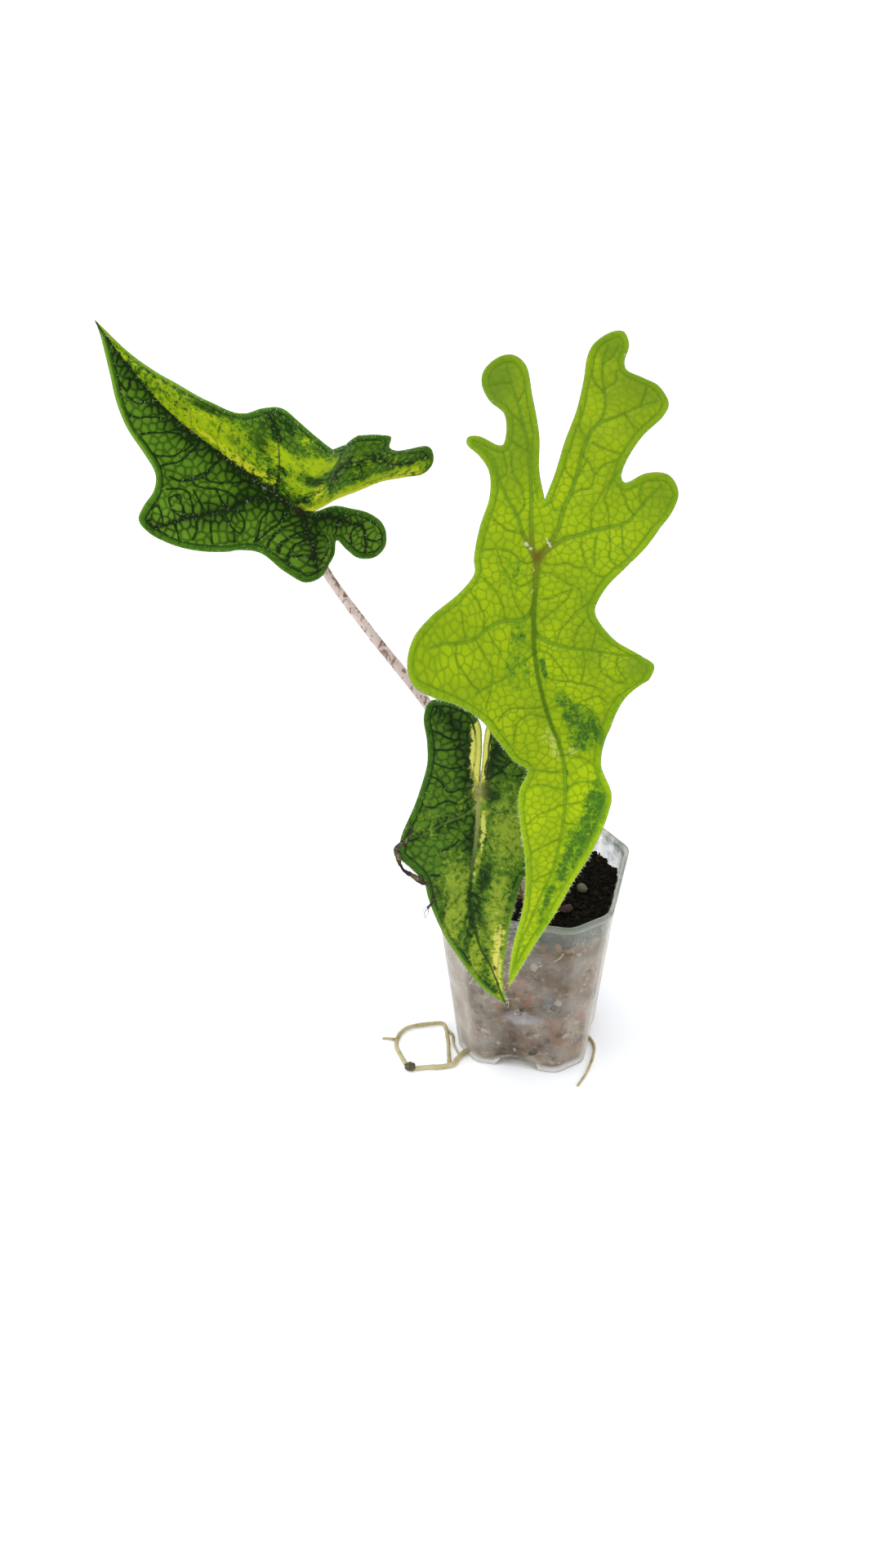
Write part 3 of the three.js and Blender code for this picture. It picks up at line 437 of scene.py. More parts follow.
class Tree:
    """Adds nodes to a node tree and links them."""

    def __init__(self, tree):
        self.tree = tree

    def node(self, kind, settings=None, inputs=None, output=0):
        """A new node, with its settings and inputs, as the value of one of its outputs."""
        made = self.tree.nodes.new(kind)
        for key, value in (settings or {}).items():
            if key == "stops":
                ramp = made.color_ramp
                while len(ramp.elements) < len(value):
                    ramp.elements.new(1)
                for element, (place, colour) in zip(ramp.elements, value):
                    element.position, element.color = place, (*colour, 1)
            else:
                setattr(made, key, value)
        for key, value in (inputs or {}).items():
            socket = made.inputs[key]
            if isinstance(value, Value):
                self.tree.links.new(value.socket, socket)
            elif socket.type == "RGBA" and len(value) == 3:
                socket.default_value = (*value, 1)
            else:
                socket.default_value = value
        return Value(self, made.outputs[output]) if made.outputs else made

    def vector(self, operation, first, second=None):
        """A Vector Math node. SCALE takes a number as its second value, and LENGTH takes none."""
        values = {0: first}
        if second is not None:
            values["Scale" if operation == "SCALE" else 1] = second
        return self.node("ShaderNodeVectorMath", {"operation": operation}, values)

    def cloud(self, spot, scale, detail=4.0, rough=0.6, twist=0.0, output=0):
        """Noise around 0.5, with scale lumps to a unit of its coordinates."""
        values = {"Vector": spot, "Scale": scale, "Detail": detail, "Roughness": rough, "Distortion": twist}
        return self.node("ShaderNodeTexNoise", {}, values, output)


class Paint(Tree):
    """Builds one material."""

    def __init__(self, name):
        self.material = bpy.data.materials.new(name)
        self.material.use_nodes = True
        super().__init__(self.material.node_tree)
        self.tree.nodes.clear()

    def read(self, name):
        return self.node("ShaderNodeAttribute", {"attribute_name": name}, output="Fac")

    def place(self, stretch=None):
        spot = self.node("ShaderNodeTexCoord", output="Object")
        return self.vector("MULTIPLY", spot, stretch) if stretch else spot

    def flat(self, stretch=None):
        spot = self.node("ShaderNodeUVMap", {"uv_map": "flat"})
        return self.vector("MULTIPLY", spot, stretch) if stretch else spot

    def height(self):
        """Height above the floor, in millimetres."""
        return self.node("ShaderNodeSeparateXYZ", {}, {"Vector": self.place()}, "Z") * 1000

    def cells(self, spot, scale, output="Distance"):
        return self.node("ShaderNodeTexVoronoi", {}, {"Vector": spot, "Scale": scale}, output)

    def ramp(self, share, *stops):
        """Colours along a share from 0 to 1: [place, colour] for each stop."""
        return self.node("ShaderNodeValToRGB", {"stops": stops}, {"Fac": share})

    def mix(self, share, first, second, blend="MIX"):
        settings = {"data_type": "RGBA", "blend_type": blend}
        return self.node("ShaderNodeMix", settings, {0: share, 6: first, 7: second}, 2)

    def coats(self, base, *coats):
        """Coats over a base colour, one after another: [share, colour] or [share, colour, blend] for each."""
        for share, colour, *blend in coats:
            base = self.mix(share, base, colour, *blend)
        return base

    def relief(self, height, distance, strength=1.0):
        return self.node("ShaderNodeBump", {}, {"Height": height, "Distance": distance, "Strength": strength})

    def blot(self, spot, middle, radii, ragged):
        """A soft-edged oval blot around a point, both in millimetres. ragged is noise that frays its edge."""
        away = self.vector("SUBTRACT", spot, tuple(MM * m for m in middle))
        away = self.vector("MULTIPLY", away, tuple(1 / (MM * r) for r in radii))
        far = self.vector("LENGTH", away).other("Value")
        return (far + (ragged - 0.5) * 2.2).step(1.3, 0.6)

    def finish(self, glow=None, glow_share=0.25, **sockets):
        """The surface itself. glow is the colour of light that comes through it."""
        named = {key.replace("_", " ").title().replace("Ior", "IOR"): value for key, value in sockets.items()}
        surface = self.node("ShaderNodeBsdfPrincipled", {}, named)
        if glow is not None:
            through = self.node("ShaderNodeBsdfTranslucent", {}, {"Color": glow})
            surface = self.node("ShaderNodeMixShader", {}, {0: glow_share, 1: surface, 2: through})
        self.node("ShaderNodeOutputMaterial", {}, {"Surface": surface})
        return self.material


class Grower(Tree):
    """A Geometry Nodes tree with named inputs, which turns one object into another."""

    def __init__(self, name, inputs):
        super().__init__(bpy.data.node_groups.new(name, "GeometryNodeTree"))
        face = self.tree.interface
        face.new_socket("Geometry", in_out="INPUT", socket_type="NodeSocketGeometry")
        for label, kind, value in inputs:
            socket = face.new_socket(label, in_out="INPUT", socket_type="NodeSocket" + kind)
            if value is not None:
                socket.default_value = value
        face.new_socket("Geometry", in_out="OUTPUT", socket_type="NodeSocketGeometry")
        self.start = self.node("NodeGroupInput")

    def given(self, name):
        return self.start.other(name)

    def end(self, shape):
        real = self.node("GeometryNodeRealizeInstances", {}, {"Geometry": shape})
        smooth = self.node("GeometryNodeSetShadeSmooth", {}, {"Geometry": real})
        painted = self.node("GeometryNodeSetMaterial", {}, {"Geometry": smooth, "Material": self.given("Material")})
        self.node("NodeGroupOutput", {}, {"Geometry": painted})
        return self.tree

    def store(self, shape, name, value, domain="POINT"):
        values = {"Geometry": shape, "Name": name, "Value": value}
        return self.node("GeometryNodeStoreNamedAttribute", {"domain": domain, "data_type": "FLOAT"}, values)

    def random(self, low, high, seed):
        """A random number for each point, or a random vector where low and high are vectors."""
        vector = isinstance(low, tuple)
        settings = {"data_type": "FLOAT_VECTOR" if vector else "FLOAT"}
        first = 0 if vector else 2
        values = {first: low, first + 1: high, "Seed": seed}
        return self.node("FunctionNodeRandomValue", settings, values, first // 2)

    def moved(self, shape, offset):
        return self.node("GeometryNodeSetPosition", {}, {"Geometry": shape, "Offset": offset})

    def scattered(self, mark, copied, turn, scale):
        """Copies on the faces, as dense as an attribute says, turned a little from the surface's own direction."""
        share = self.node("GeometryNodeInputNamedAttribute", {"data_type": "FLOAT"}, {"Name": mark})
        spots = self.node("GeometryNodeDistributePointsOnFaces", {"distribute_method": "RANDOM"}, {
            "Mesh": self.given("Geometry"), "Density": share * self.given("Density"), "Seed": self.given("Seed"),
        })
        turned = self.node("FunctionNodeEulerToRotation", {}, {"Euler": turn})
        both = {"Rotation": spots.other("Rotation"), "Rotate By": turned}
        aim = self.node("FunctionNodeRotateRotation", {"rotation_space": "LOCAL"}, both)
        values = {"Points": spots, "Instance": copied, "Rotation": aim, "Scale": scale}
        return self.node("GeometryNodeInstanceOnPoints", {}, values)


def linked(name, data):
    """A new object in the scene."""
    made = bpy.data.objects.new(name, data)
    bpy.context.scene.collection.objects.link(made)
    return made


def grown(tree, source, name, **values):
    """What a tree makes of an object, as a plain mesh object. The source object is used up."""
    modifier = source.modifiers.new("grow", "NODES")
    modifier.node_group = tree
    for item in tree.interface.items_tree:
        key = item.name.lower().replace(" ", "_")
        if item.in_out == "INPUT" and key in values:
            modifier[item.identifier] = values[key]
    graph = bpy.context.evaluated_depsgraph_get()
    mesh = bpy.data.meshes.new_from_object(source.evaluated_get(graph), depsgraph=graph)
    source.modifiers.remove(modifier)
    bpy.data.objects.remove(source)
    mesh.name = name
    made = linked(name, mesh)
    if not mesh.materials:
        mesh.materials.append(values["material"])
    return made


def placed(piece, slot, *nodes):
    """Says what a finished piece rides on and the nodes that it stands for. slot, its material slot, is not used."""
    if not len(piece.data.polygons):
        raise RuntimeError(f"{piece.name} came out empty")
    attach(piece, "root")
    if nodes:
        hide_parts(*nodes)
    return piece


def mesh_piece(name, points, faces, material, values=None, flat=None):
    """An object from points in millimetres, with a number for each point under each name in values."""
    mesh = bpy.data.meshes.new(name)
    mesh.from_pydata((np.asarray(points) * MM).tolist(), [], [list(map(int, f)) for f in faces])
    mesh.validate()
    for key, numbers in (values or {}).items():
        layer = mesh.attributes.new(key, "FLOAT", "POINT")
        layer.data.foreach_set("value", np.asarray(numbers, np.float32))
    if flat is not None:
        corner = np.zeros(len(mesh.loops), np.int32)
        mesh.loops.foreach_get("vertex_index", corner)
        layer = mesh.uv_layers.new(name="flat")
        layer.data.foreach_set("uv", np.asarray(flat, np.float32)[corner].ravel())
    mesh.shade_smooth()
    mesh.materials.append(material)
    return linked(name, mesh)


# Numbers, curves and random clouds
def lattice(cells, seed):
    """A fixed random number from 0 to 1 for each whole-numbered cell of space."""
    x, y, z = (cells[..., k].astype(np.int64) for k in range(3))
    mixed = (x * 73856093) ^ (y * 19349663) ^ (z * 83492791) ^ (seed * 40503)
    mixed = ((mixed ^ (mixed >> 13)) * 1274126177) & 0x7FFFFFFF
    mixed = ((mixed ^ (mixed >> 11)) * 668265263) & 0x7FFFFFFF
    return ((mixed >> 7) & 0xFFFF) / 0xFFFF


def cloud(points, size, seed, layers=3):
    """A smooth random number from about -1 to 1 for each point, whose lumps are of that size."""
    total = np.zeros(points.shape[:-1])
    for layer in range(layers):
        place = points / size * 2**layer
        whole = np.floor(place)
        part = place - whole
        part = part * part * (3 - 2 * part)
        value = np.zeros(total.shape)
        for corner in itertools.product((0, 1), repeat=3):
            weight = np.prod(np.where(corner, part, 1 - part), axis=-1)
            value += weight * lattice(whole + corner, seed + layer)
        total += (2 * value - 1) / 2**layer
    return total


def catmull(points, steps):
    """A centripetal curve through the points."""
    p = np.array(points, float)
    pieces = []
    for i in range(len(p) - 1):
        b, c = p[i], p[i + 1]
        a = p[i - 1] if i > 0 else 2 * b - c
        d = p[i + 2] if i + 2 < len(p) else 2 * c - b
        first, middle, last = (np.sum((q - r) ** 2) ** 0.25 for q, r in ((a, b), (b, c), (c, d)))
        leave = ((b - a) / first - (c - a) / (first + middle) + (c - b) / middle) * middle
        arrive = ((c - b) / middle - (d - b) / (middle + last) + (d - c) / last) * middle
        u = np.linspace(0, 1, steps, endpoint=False)[:, None]
        pieces.append(
            (2 * u**3 - 3 * u**2 + 1) * b + (u**3 - 2 * u**2 + u) * leave
            + (-2 * u**3 + 3 * u**2) * c + (u**3 - u**2) * arrive
        )
    return np.concatenate([*pieces, p[-1:]])


def pairs(numbers):
    """Flat points from a list of across, along, across, along."""
    return np.array(numbers, float).reshape(-1, 2)


def evenly(points, gap):
    """A line's points, set out again at an even gap."""
    run = np.r_[0, np.cumsum(np.linalg.norm(np.diff(points, axis=0), axis=1))]
    places = np.linspace(0, run[-1], max(2, int(round(run[-1] / gap)) + 1))
    return np.stack([np.interp(places, run, points[:, k]) for k in range(points.shape[1])], -1)


def unit(vectors):
    """Vectors in the same directions, of length 1."""
    return vectors / np.linalg.norm(vectors, axis=-1)[..., None]


def bell(distance, width):
    """1 at no distance, falling away smoothly over the width."""
    return np.exp(-((distance / width) ** 2))


def nearest(points, targets):
    """For each flat point, which target is nearest and how far it is."""
    tree = kdtree.KDTree(len(targets))
    for i, (x, y) in enumerate(targets.tolist()):
        tree.insert((x, y, 0), i)
    tree.balance()
    found = [tree.find((x, y, 0))[1:] for x, y in points.tolist()]
    which, far = zip(*found)
    return np.array(which), np.array(far)


def marked(points, marks):
    """How strongly flat points are covered by soft oval marks, 0 to 1."""
    clear = np.ones(len(points))
    for across, along, wide, long, turn, strength in marks:
        c, s = math.cos(math.radians(turn)), math.sin(math.radians(turn))
        x, y = points[:, 0] - across, points[:, 1] - along
        reach = ((x * c - y * s) / wide) ** 2 + ((x * s + y * c) / long) ** 2
        clear *= 1 - strength * np.exp(-0.7 * reach**1.5)
    return 1 - clear


# Leaf blades
class Sheet:
    """The curved face of a blade, from flat places to space."""

    STEPS = 24
    CREASE = 3
    WAVE_REACH = 30

    def __init__(self, leaf):
        line = catmull(leaf["spine"], self.STEPS)
        home = leaf["stalk_point"] * self.STEPS
        run = np.r_[0, np.cumsum(np.linalg.norm(np.diff(line, axis=0), axis=1))]
        self.run = run - run[home]
        self.line = line
        self.forward = unit(np.gradient(line, axis=0))
        self.up = np.zeros_like(line)
        face = np.array(leaf["face"], float)
        self.up[home] = unit(face - face @ self.forward[home] * self.forward[home])
        ahead = [(i, i - 1) for i in range(home + 1, len(line))]
        behind = [(i, i + 1) for i in range(home - 1, -1, -1)]
        for i, before in ahead + behind:
            carried = self.up[before]
            self.up[i] = unit(carried - carried @ self.forward[i] * self.forward[i])
        self.folds = np.array(leaf["folds"], float)
        self.curl = math.radians(leaf["curl"])
        self.wave = leaf["wave"]

    def place(self, flat, lift):
        """Flat points in space, each lifted off the face."""
        across, along = flat[:, 0], flat[:, 1]
        middle, forward, up = (
            np.stack([np.interp(along, self.run, part[:, k]) for k in range(3)], -1)
            for part in (self.line, self.forward, self.up)
        )
        forward, up = unit(forward), unit(up)
        beyond = along - np.clip(along, self.run[0], self.run[-1])
        middle = middle + beyond[:, None] * forward
        side = np.cross(up, forward)
        half = np.where(across >= 0, 1.0, -1.0)
        reach = np.abs(across)
        right, left = (np.interp(along, self.folds[:, 0], self.folds[:, k]) for k in (1, 2))
        fold = np.radians(np.where(across >= 0, right, left))
        bend = fold + self.curl * reach
        outward = (np.sin(bend) - np.sin(fold)) / self.curl
        upward = (np.cos(fold) - np.cos(bend)) / self.curl
        soft = 1 - np.exp(-reach / self.CREASE)
        height, length, shift = self.wave
        ripple = height * (reach / self.WAVE_REACH) ** 1.5 * np.sin(2 * np.pi * along / length + shift * half)
        skin = up * np.cos(bend * soft)[:, None] - (half * np.sin(bend * soft))[:, None] * side
        return (
            middle
            + (half * outward)[:, None] * side
            + (upward * soft)[:, None] * up
            + skin * (ripple + lift)[:, None]
        )


def inside_rows(outline, gap, rng):
    """Points in staggered rows inside a closed outline."""
    low, high = outline.min(0), outline.max(0)
    ends = np.roll(outline, -1, axis=0)
    rows = []
    for number, along in enumerate(np.arange(low[1], high[1], gap * ROW_STEP)):
        crosses = (outline[:, 1] > along) != (ends[:, 1] > along)
        a, b = outline[crosses], ends[crosses]
        cuts = np.sort(a[:, 0] + (along - a[:, 1]) * (b[:, 0] - a[:, 0]) / (b[:, 1] - a[:, 1]))
        across = np.arange(low[0] + gap * 0.5 * (number % 2), high[0], gap)
        across = across[np.searchsorted(cuts, across) % 2 == 1]
        rows.append(np.c_[across, np.full(len(across), along)])
    points = np.concatenate(rows)
    return points + rng.uniform(-STRAY, STRAY, points.shape) * gap


def spread(groups, cell):
    """Points of several groups in turn, no two in one small square cell, and in loose groups none beside a kept one."""
    taken, kept = set(), []
    for points, close in groups:
        reach = (0,) if close else (-1, 0, 1)
        for (x, y), (i, j) in zip(points.tolist(), np.floor(points / cell).astype(int).tolist()):
            if not any((i + m, j + n) in taken for m in reach for n in reach):
                taken.add((i, j))
                kept.append((x, y))
    return np.array(kept)


def traced(points):
    """A vein's line, close enough for measuring from."""
    return evenly(catmull(pairs(points), 8), VEIN_GAP)


def raised(flat, height=0.0):
    """Flat points as points in space at one height."""
    return np.c_[flat, np.full(len(flat), height)]


class Veins:
    """A leaf's veins on its flat shape: ribs, side veins, the vein along the margin and the fine net."""

    RIM = 2.3
    RIM_SWAY = 0.35
    CLEAR_OF_MARGIN = 1.9
    TRY_GAP = 0.6
    RIB_REACH = 7
    SQUEEZE = 0.36
    STRETCH = 0.9
    LONGEST_BORDER = 7

    def __init__(self, leaf, net_cell, seed):
        rng = np.random.default_rng(seed)
        down, up = (catmull(pairs(leaf[side]), 14) for side in ("right", "left"))
        up = up[::-1]
        self.outline = evenly(np.concatenate([down, up[1:]]), OUTLINE_GAP)[:-1]
        self.margin = evenly(np.r_[self.outline, self.outline[:1]], MARGIN_GAP)
        ribs, widths, heads = [], [], []
        for start, end, points in leaf["veins"]:
            line = traced(points)
            ribs.append(line)
            heads.append(unit(np.gradient(line, axis=0)))
            widths.append(start + (end - start) * np.linspace(0, 1, len(line)) ** 0.7)
        self.rib, self.rib_width, heads = (np.concatenate(part) for part in (ribs, widths, heads))
        sides = []
        for points in leaf["side_veins"]:
            line = traced(points)
            sway = raised(line, 3.0)
            sides.append(line + 0.3 * np.c_[cloud(sway, 3.0, seed + 5), cloud(sway, 3.0, seed + 9)])
        self.side = np.concatenate([*sides, self.rim_vein(seed)])
        self.seeds = self.net_seeds(rng, heads, net_cell)
        self.net = self.net_lines(seed)
        self.tones = rng.random(len(self.seeds))

    def rim_vein(self, seed):
        """The vein that follows the margin a little way in."""
        edge = np.roll(self.outline, -1, axis=0) - np.roll(self.outline, 1, axis=0)
        inward = unit(np.c_[-edge[:, 1], edge[:, 0]])
        x, y = self.outline.T
        if np.sum(x * np.roll(y, -1) - np.roll(x, -1) * y) <= 0:
            inward = -inward
        far = self.RIM + self.RIM_SWAY * cloud(raised(self.outline), 9.0, seed + 20)
        beside = evenly(self.outline + inward * far[:, None], VEIN_GAP)
        return beside[nearest(beside, self.margin)[1] > self.CLEAR_OF_MARGIN]

    def net_seeds(self, rng, heads, size):
        """Middles of the net's cells. Beside a rib, a cell is short along it and long across it."""
        tries = inside_rows(self.outline, self.TRY_GAP, rng)
        rng.shuffle(tries)
        rib, far = nearest(tries, self.rib)
        kept = np.zeros((len(tries), 2))
        count = 0
        for spot, head, close in zip(tries, heads[rib], bell(far, self.RIB_REACH)):
            gap = kept[:count] - spot
            ahead = gap @ head
            aside = gap @ np.array([-head[1], head[0]])
            short, long = size * (1 - self.SQUEEZE * close), size * (1 + self.STRETCH * close)
            if not np.any((ahead / short) ** 2 + (aside / long) ** 2 < 1):
                kept[count] = spot
                count += 1
        return kept[:count]

    def net_lines(self, seed):
        """The borders between the cells, gently bent."""
        _, _, triangles, *_ = geometry.delaunay_2d_cdt(self.seeds.tolist(), [], [], 0, 1e-6)
        corners = self.seeds[np.array([list(t) for t in triangles])]
        a, b, c = corners[:, 0], corners[:, 1], corners[:, 2]
        sides = (b - c, c - a, a - b)
        double = 2 * sum(p[:, 0] * s[:, 1] for p, s in zip((a, b, c), sides))
        squares = [np.sum(p * p, axis=1) for p in (a, b, c)]
        x = sum(q * s[:, 1] for q, s in zip(squares, sides)) / double
        y = -sum(q * s[:, 0] for q, s in zip(squares, sides)) / double
        middles = np.c_[x, y]
        shared, lines = {}, []
        for number, triangle in enumerate(triangles):
            for pair in itertools.combinations(sorted(triangle), 2):
                if pair in shared:
                    ends = middles[[shared[pair], number]]
                    if np.linalg.norm(ends[1] - ends[0]) < self.LONGEST_BORDER:
                        lines.append(evenly(ends, NET_GAP))
                else:
                    shared[pair] = number
        points = np.concatenate(lines)
        low, high = self.outline.min(0), self.outline.max(0)
        points = points[np.all((points > low) & (points < high), axis=1)]
        spot = raised(points)
        return points + 0.32 * np.c_[cloud(spot, 2.4, seed + 30, 2), cloud(spot, 2.4, seed + 40, 2)]


def blade_layer(veins, gap, line_gap, seed):
    """One face of a blade, flat: its points, outline first, and its triangles."""
    rng = np.random.default_rng(seed)
    fill = inside_rows(veins.outline, gap, rng)
    lines = [(part[:: max(1, int(line_gap / VEIN_GAP))], True) for part in (veins.rib, veins.side, veins.net)]
    inner = spread([*lines, (fill, False)], min(line_gap, gap * 0.62))
    inner = inner[nearest(inner, veins.margin)[1] > 0.3]
    count = len(veins.outline)
    every = np.concatenate([veins.outline, inner])
    loops = [list(range(count))]
    points, _, triangles, origins, *_ = geometry.delaunay_2d_cdt(every.tolist(), [], loops, 1, 1e-7)
    if any(list(origins[i]) != [i] for i in range(count)):
        raise RuntimeError("the outline's points were merged")
    points = np.array([tuple(p) for p in points])
    triangles = np.array([list(t) for t in triangles])
    used = np.union1d(np.arange(count), np.unique(triangles))
    order = np.zeros(len(points), int)
    order[used] = np.arange(len(used))
    return points[used], order[triangles]


MARKS = ("dark", "lime", "yellow", "dull", "white")


def blade_fields(veins, leaf, flat):
    """What the relief and the colours need to know at each flat point."""
    rib, rib_far = nearest(flat, veins.rib)
    fields = {
        "rib": rib_far / veins.rib_width[rib],
        "side": np.minimum(nearest(flat, veins.side)[1], 6),
        "net": np.minimum(nearest(flat, veins.net)[1], 3),
        "edge": np.minimum(nearest(flat, veins.margin)[1], 30),
        "tone": veins.tones[nearest(flat, veins.seeds)[0]],
        "rib_far": rib_far,
        "rib_width": veins.rib_width[rib],
        "hub": np.linalg.norm(flat, axis=1),
    }
    fields.update((key, marked(flat, leaf[key])) for key in MARKS)
    plain = leaf["plain_half"] * np.clip(flat[:, 0] / 0.7 + 0.5, 0, 1)
    for key in ("lime", "yellow"):
        fields[key] = fields[key] - 1.4 * plain
    return fields


def blade_lift(fields, relief, thickness, below):
    """How far each point stands off the blade's even face."""
    groove = 0.42 * fields["rib_width"] * bell(fields["rib"], 1.15)
    side = 0.2 * bell(fields["side"], 0.42)
    net = 0.13 * bell(fields["net"], 0.34)
    swell = 0.5 * (1 - bell(fields["rib_far"], 4.5)) + 0.3 * (1 - bell(fields["side"], 1.6))
    fade = 1 - bell(fields["edge"], 1.6)
    round_edge = np.sqrt(1 - (1 - np.minimum(fields["edge"] / 0.45, 1)) ** 2)
    upper = relief * fade * (swell - groove - side - net - 0.4)
    if not below:
        return upper - thickness / 2 + thickness / 2 * round_edge
    ridge = 1.1 * fields["rib_width"] * bell(fields["rib"], 0.9)
    ridge += 0.2 * bell(fields["side"], 0.35) + 0.08 * bell(fields["net"], 0.3)
    ridge += 1.3 * bell(fields["hub"], 2.4)
    return upper - thickness / 2 - thickness / 2 * round_edge - fade * (ridge - 0.6 * relief * (groove + side + net))


def blade(name, leaf, settings, material, seed):
    """A leaf blade as one closed mesh."""
    veins = Veins(leaf, settings.net_cell, seed)
    sheet = Sheet(leaf)
    count = len(veins.outline)
    top, top_faces = blade_layer(veins, *UPPER_GAPS, seed + 1)
    bottom, bottom_faces = blade_layer(veins, *LOWER_GAPS, seed + 2)
    fields, places = [], []
    for flat, below in ((top, False), (bottom, True)):
        fields.append(blade_fields(veins, leaf, flat))
        lift = blade_lift(fields[-1], settings.relief, settings.thickness, below)
        lift[:count] = -settings.thickness / 2
        places.append(sheet.place(flat, lift))
    upper, lower = fields
    values = {key: np.r_[upper[key], lower[key][count:]] for key in ("rib", "side", "net", "edge", "tone", *MARKS)}
    flat = np.concatenate([top, bottom[count:]])
    under = np.r_[np.full(count, 0.5), np.zeros(len(top) - count), np.ones(len(bottom) - count)]
    rim = values["edge"] < 0.34
    nerve = bell(values["side"], 0.4) + bell(values["rib"], 1)
    fuzz = np.where(rim, 1.0, (under > 0.6) * (0.03 + 0.35 * nerve) + (under < 0.4) * nerve * leaf["fuzz"])
    from_crown = np.linalg.norm(flat - [0, -1.2], axis=1)
    midrib = evenly(catmull(pairs(leaf["veins"][0][2]), 8), 0.2)
    values.update({
        "under": under, "reach": flat[:, 1] / leaf["right"][-1], "fuzz": np.clip(fuzz, 0, 1),
        "midrib": nearest(flat, midrib)[1] < 1.6, "crown": bell(from_crown, 2.6), "fan": bell(from_crown, 9),
    })
    shift = np.where(np.arange(bottom_faces.max() + 1) < count, 0, len(top) - count)
    bottom_faces = bottom_faces + shift[bottom_faces]
    a, b, c = (places[0][top_faces[:, k]] for k in range(3))
    outward = np.cross(b - a, c - a) @ sheet.up[leaf["stalk_point"] * Sheet.STEPS]
    if outward.mean() > 0:
        bottom_faces = bottom_faces[:, ::-1]
    else:
        top_faces = top_faces[:, ::-1]
    unrolled = flat / FLAT_SPAN + FLAT_MIDDLE
    unrolled[len(top):, 0] = 1 - unrolled[len(top):, 0]
    points = np.concatenate([places[0], places[1][count:]])
    return mesh_piece(name, points, np.concatenate([top_faces, bottom_faces]), material, values, unrolled)


# Lime, bright and pale paint of the variegation, and the rim, for each dark leaf
DARK_LEAF_TONES = {
    "left": (rgb(134, 166, 26), rgb(176, 198, 24), rgb(218, 222, 50), rgb(96, 140, 30)),
    "low": (rgb(120, 150, 42), rgb(160, 180, 56), rgb(228, 226, 116), rgb(84, 122, 40)),
}


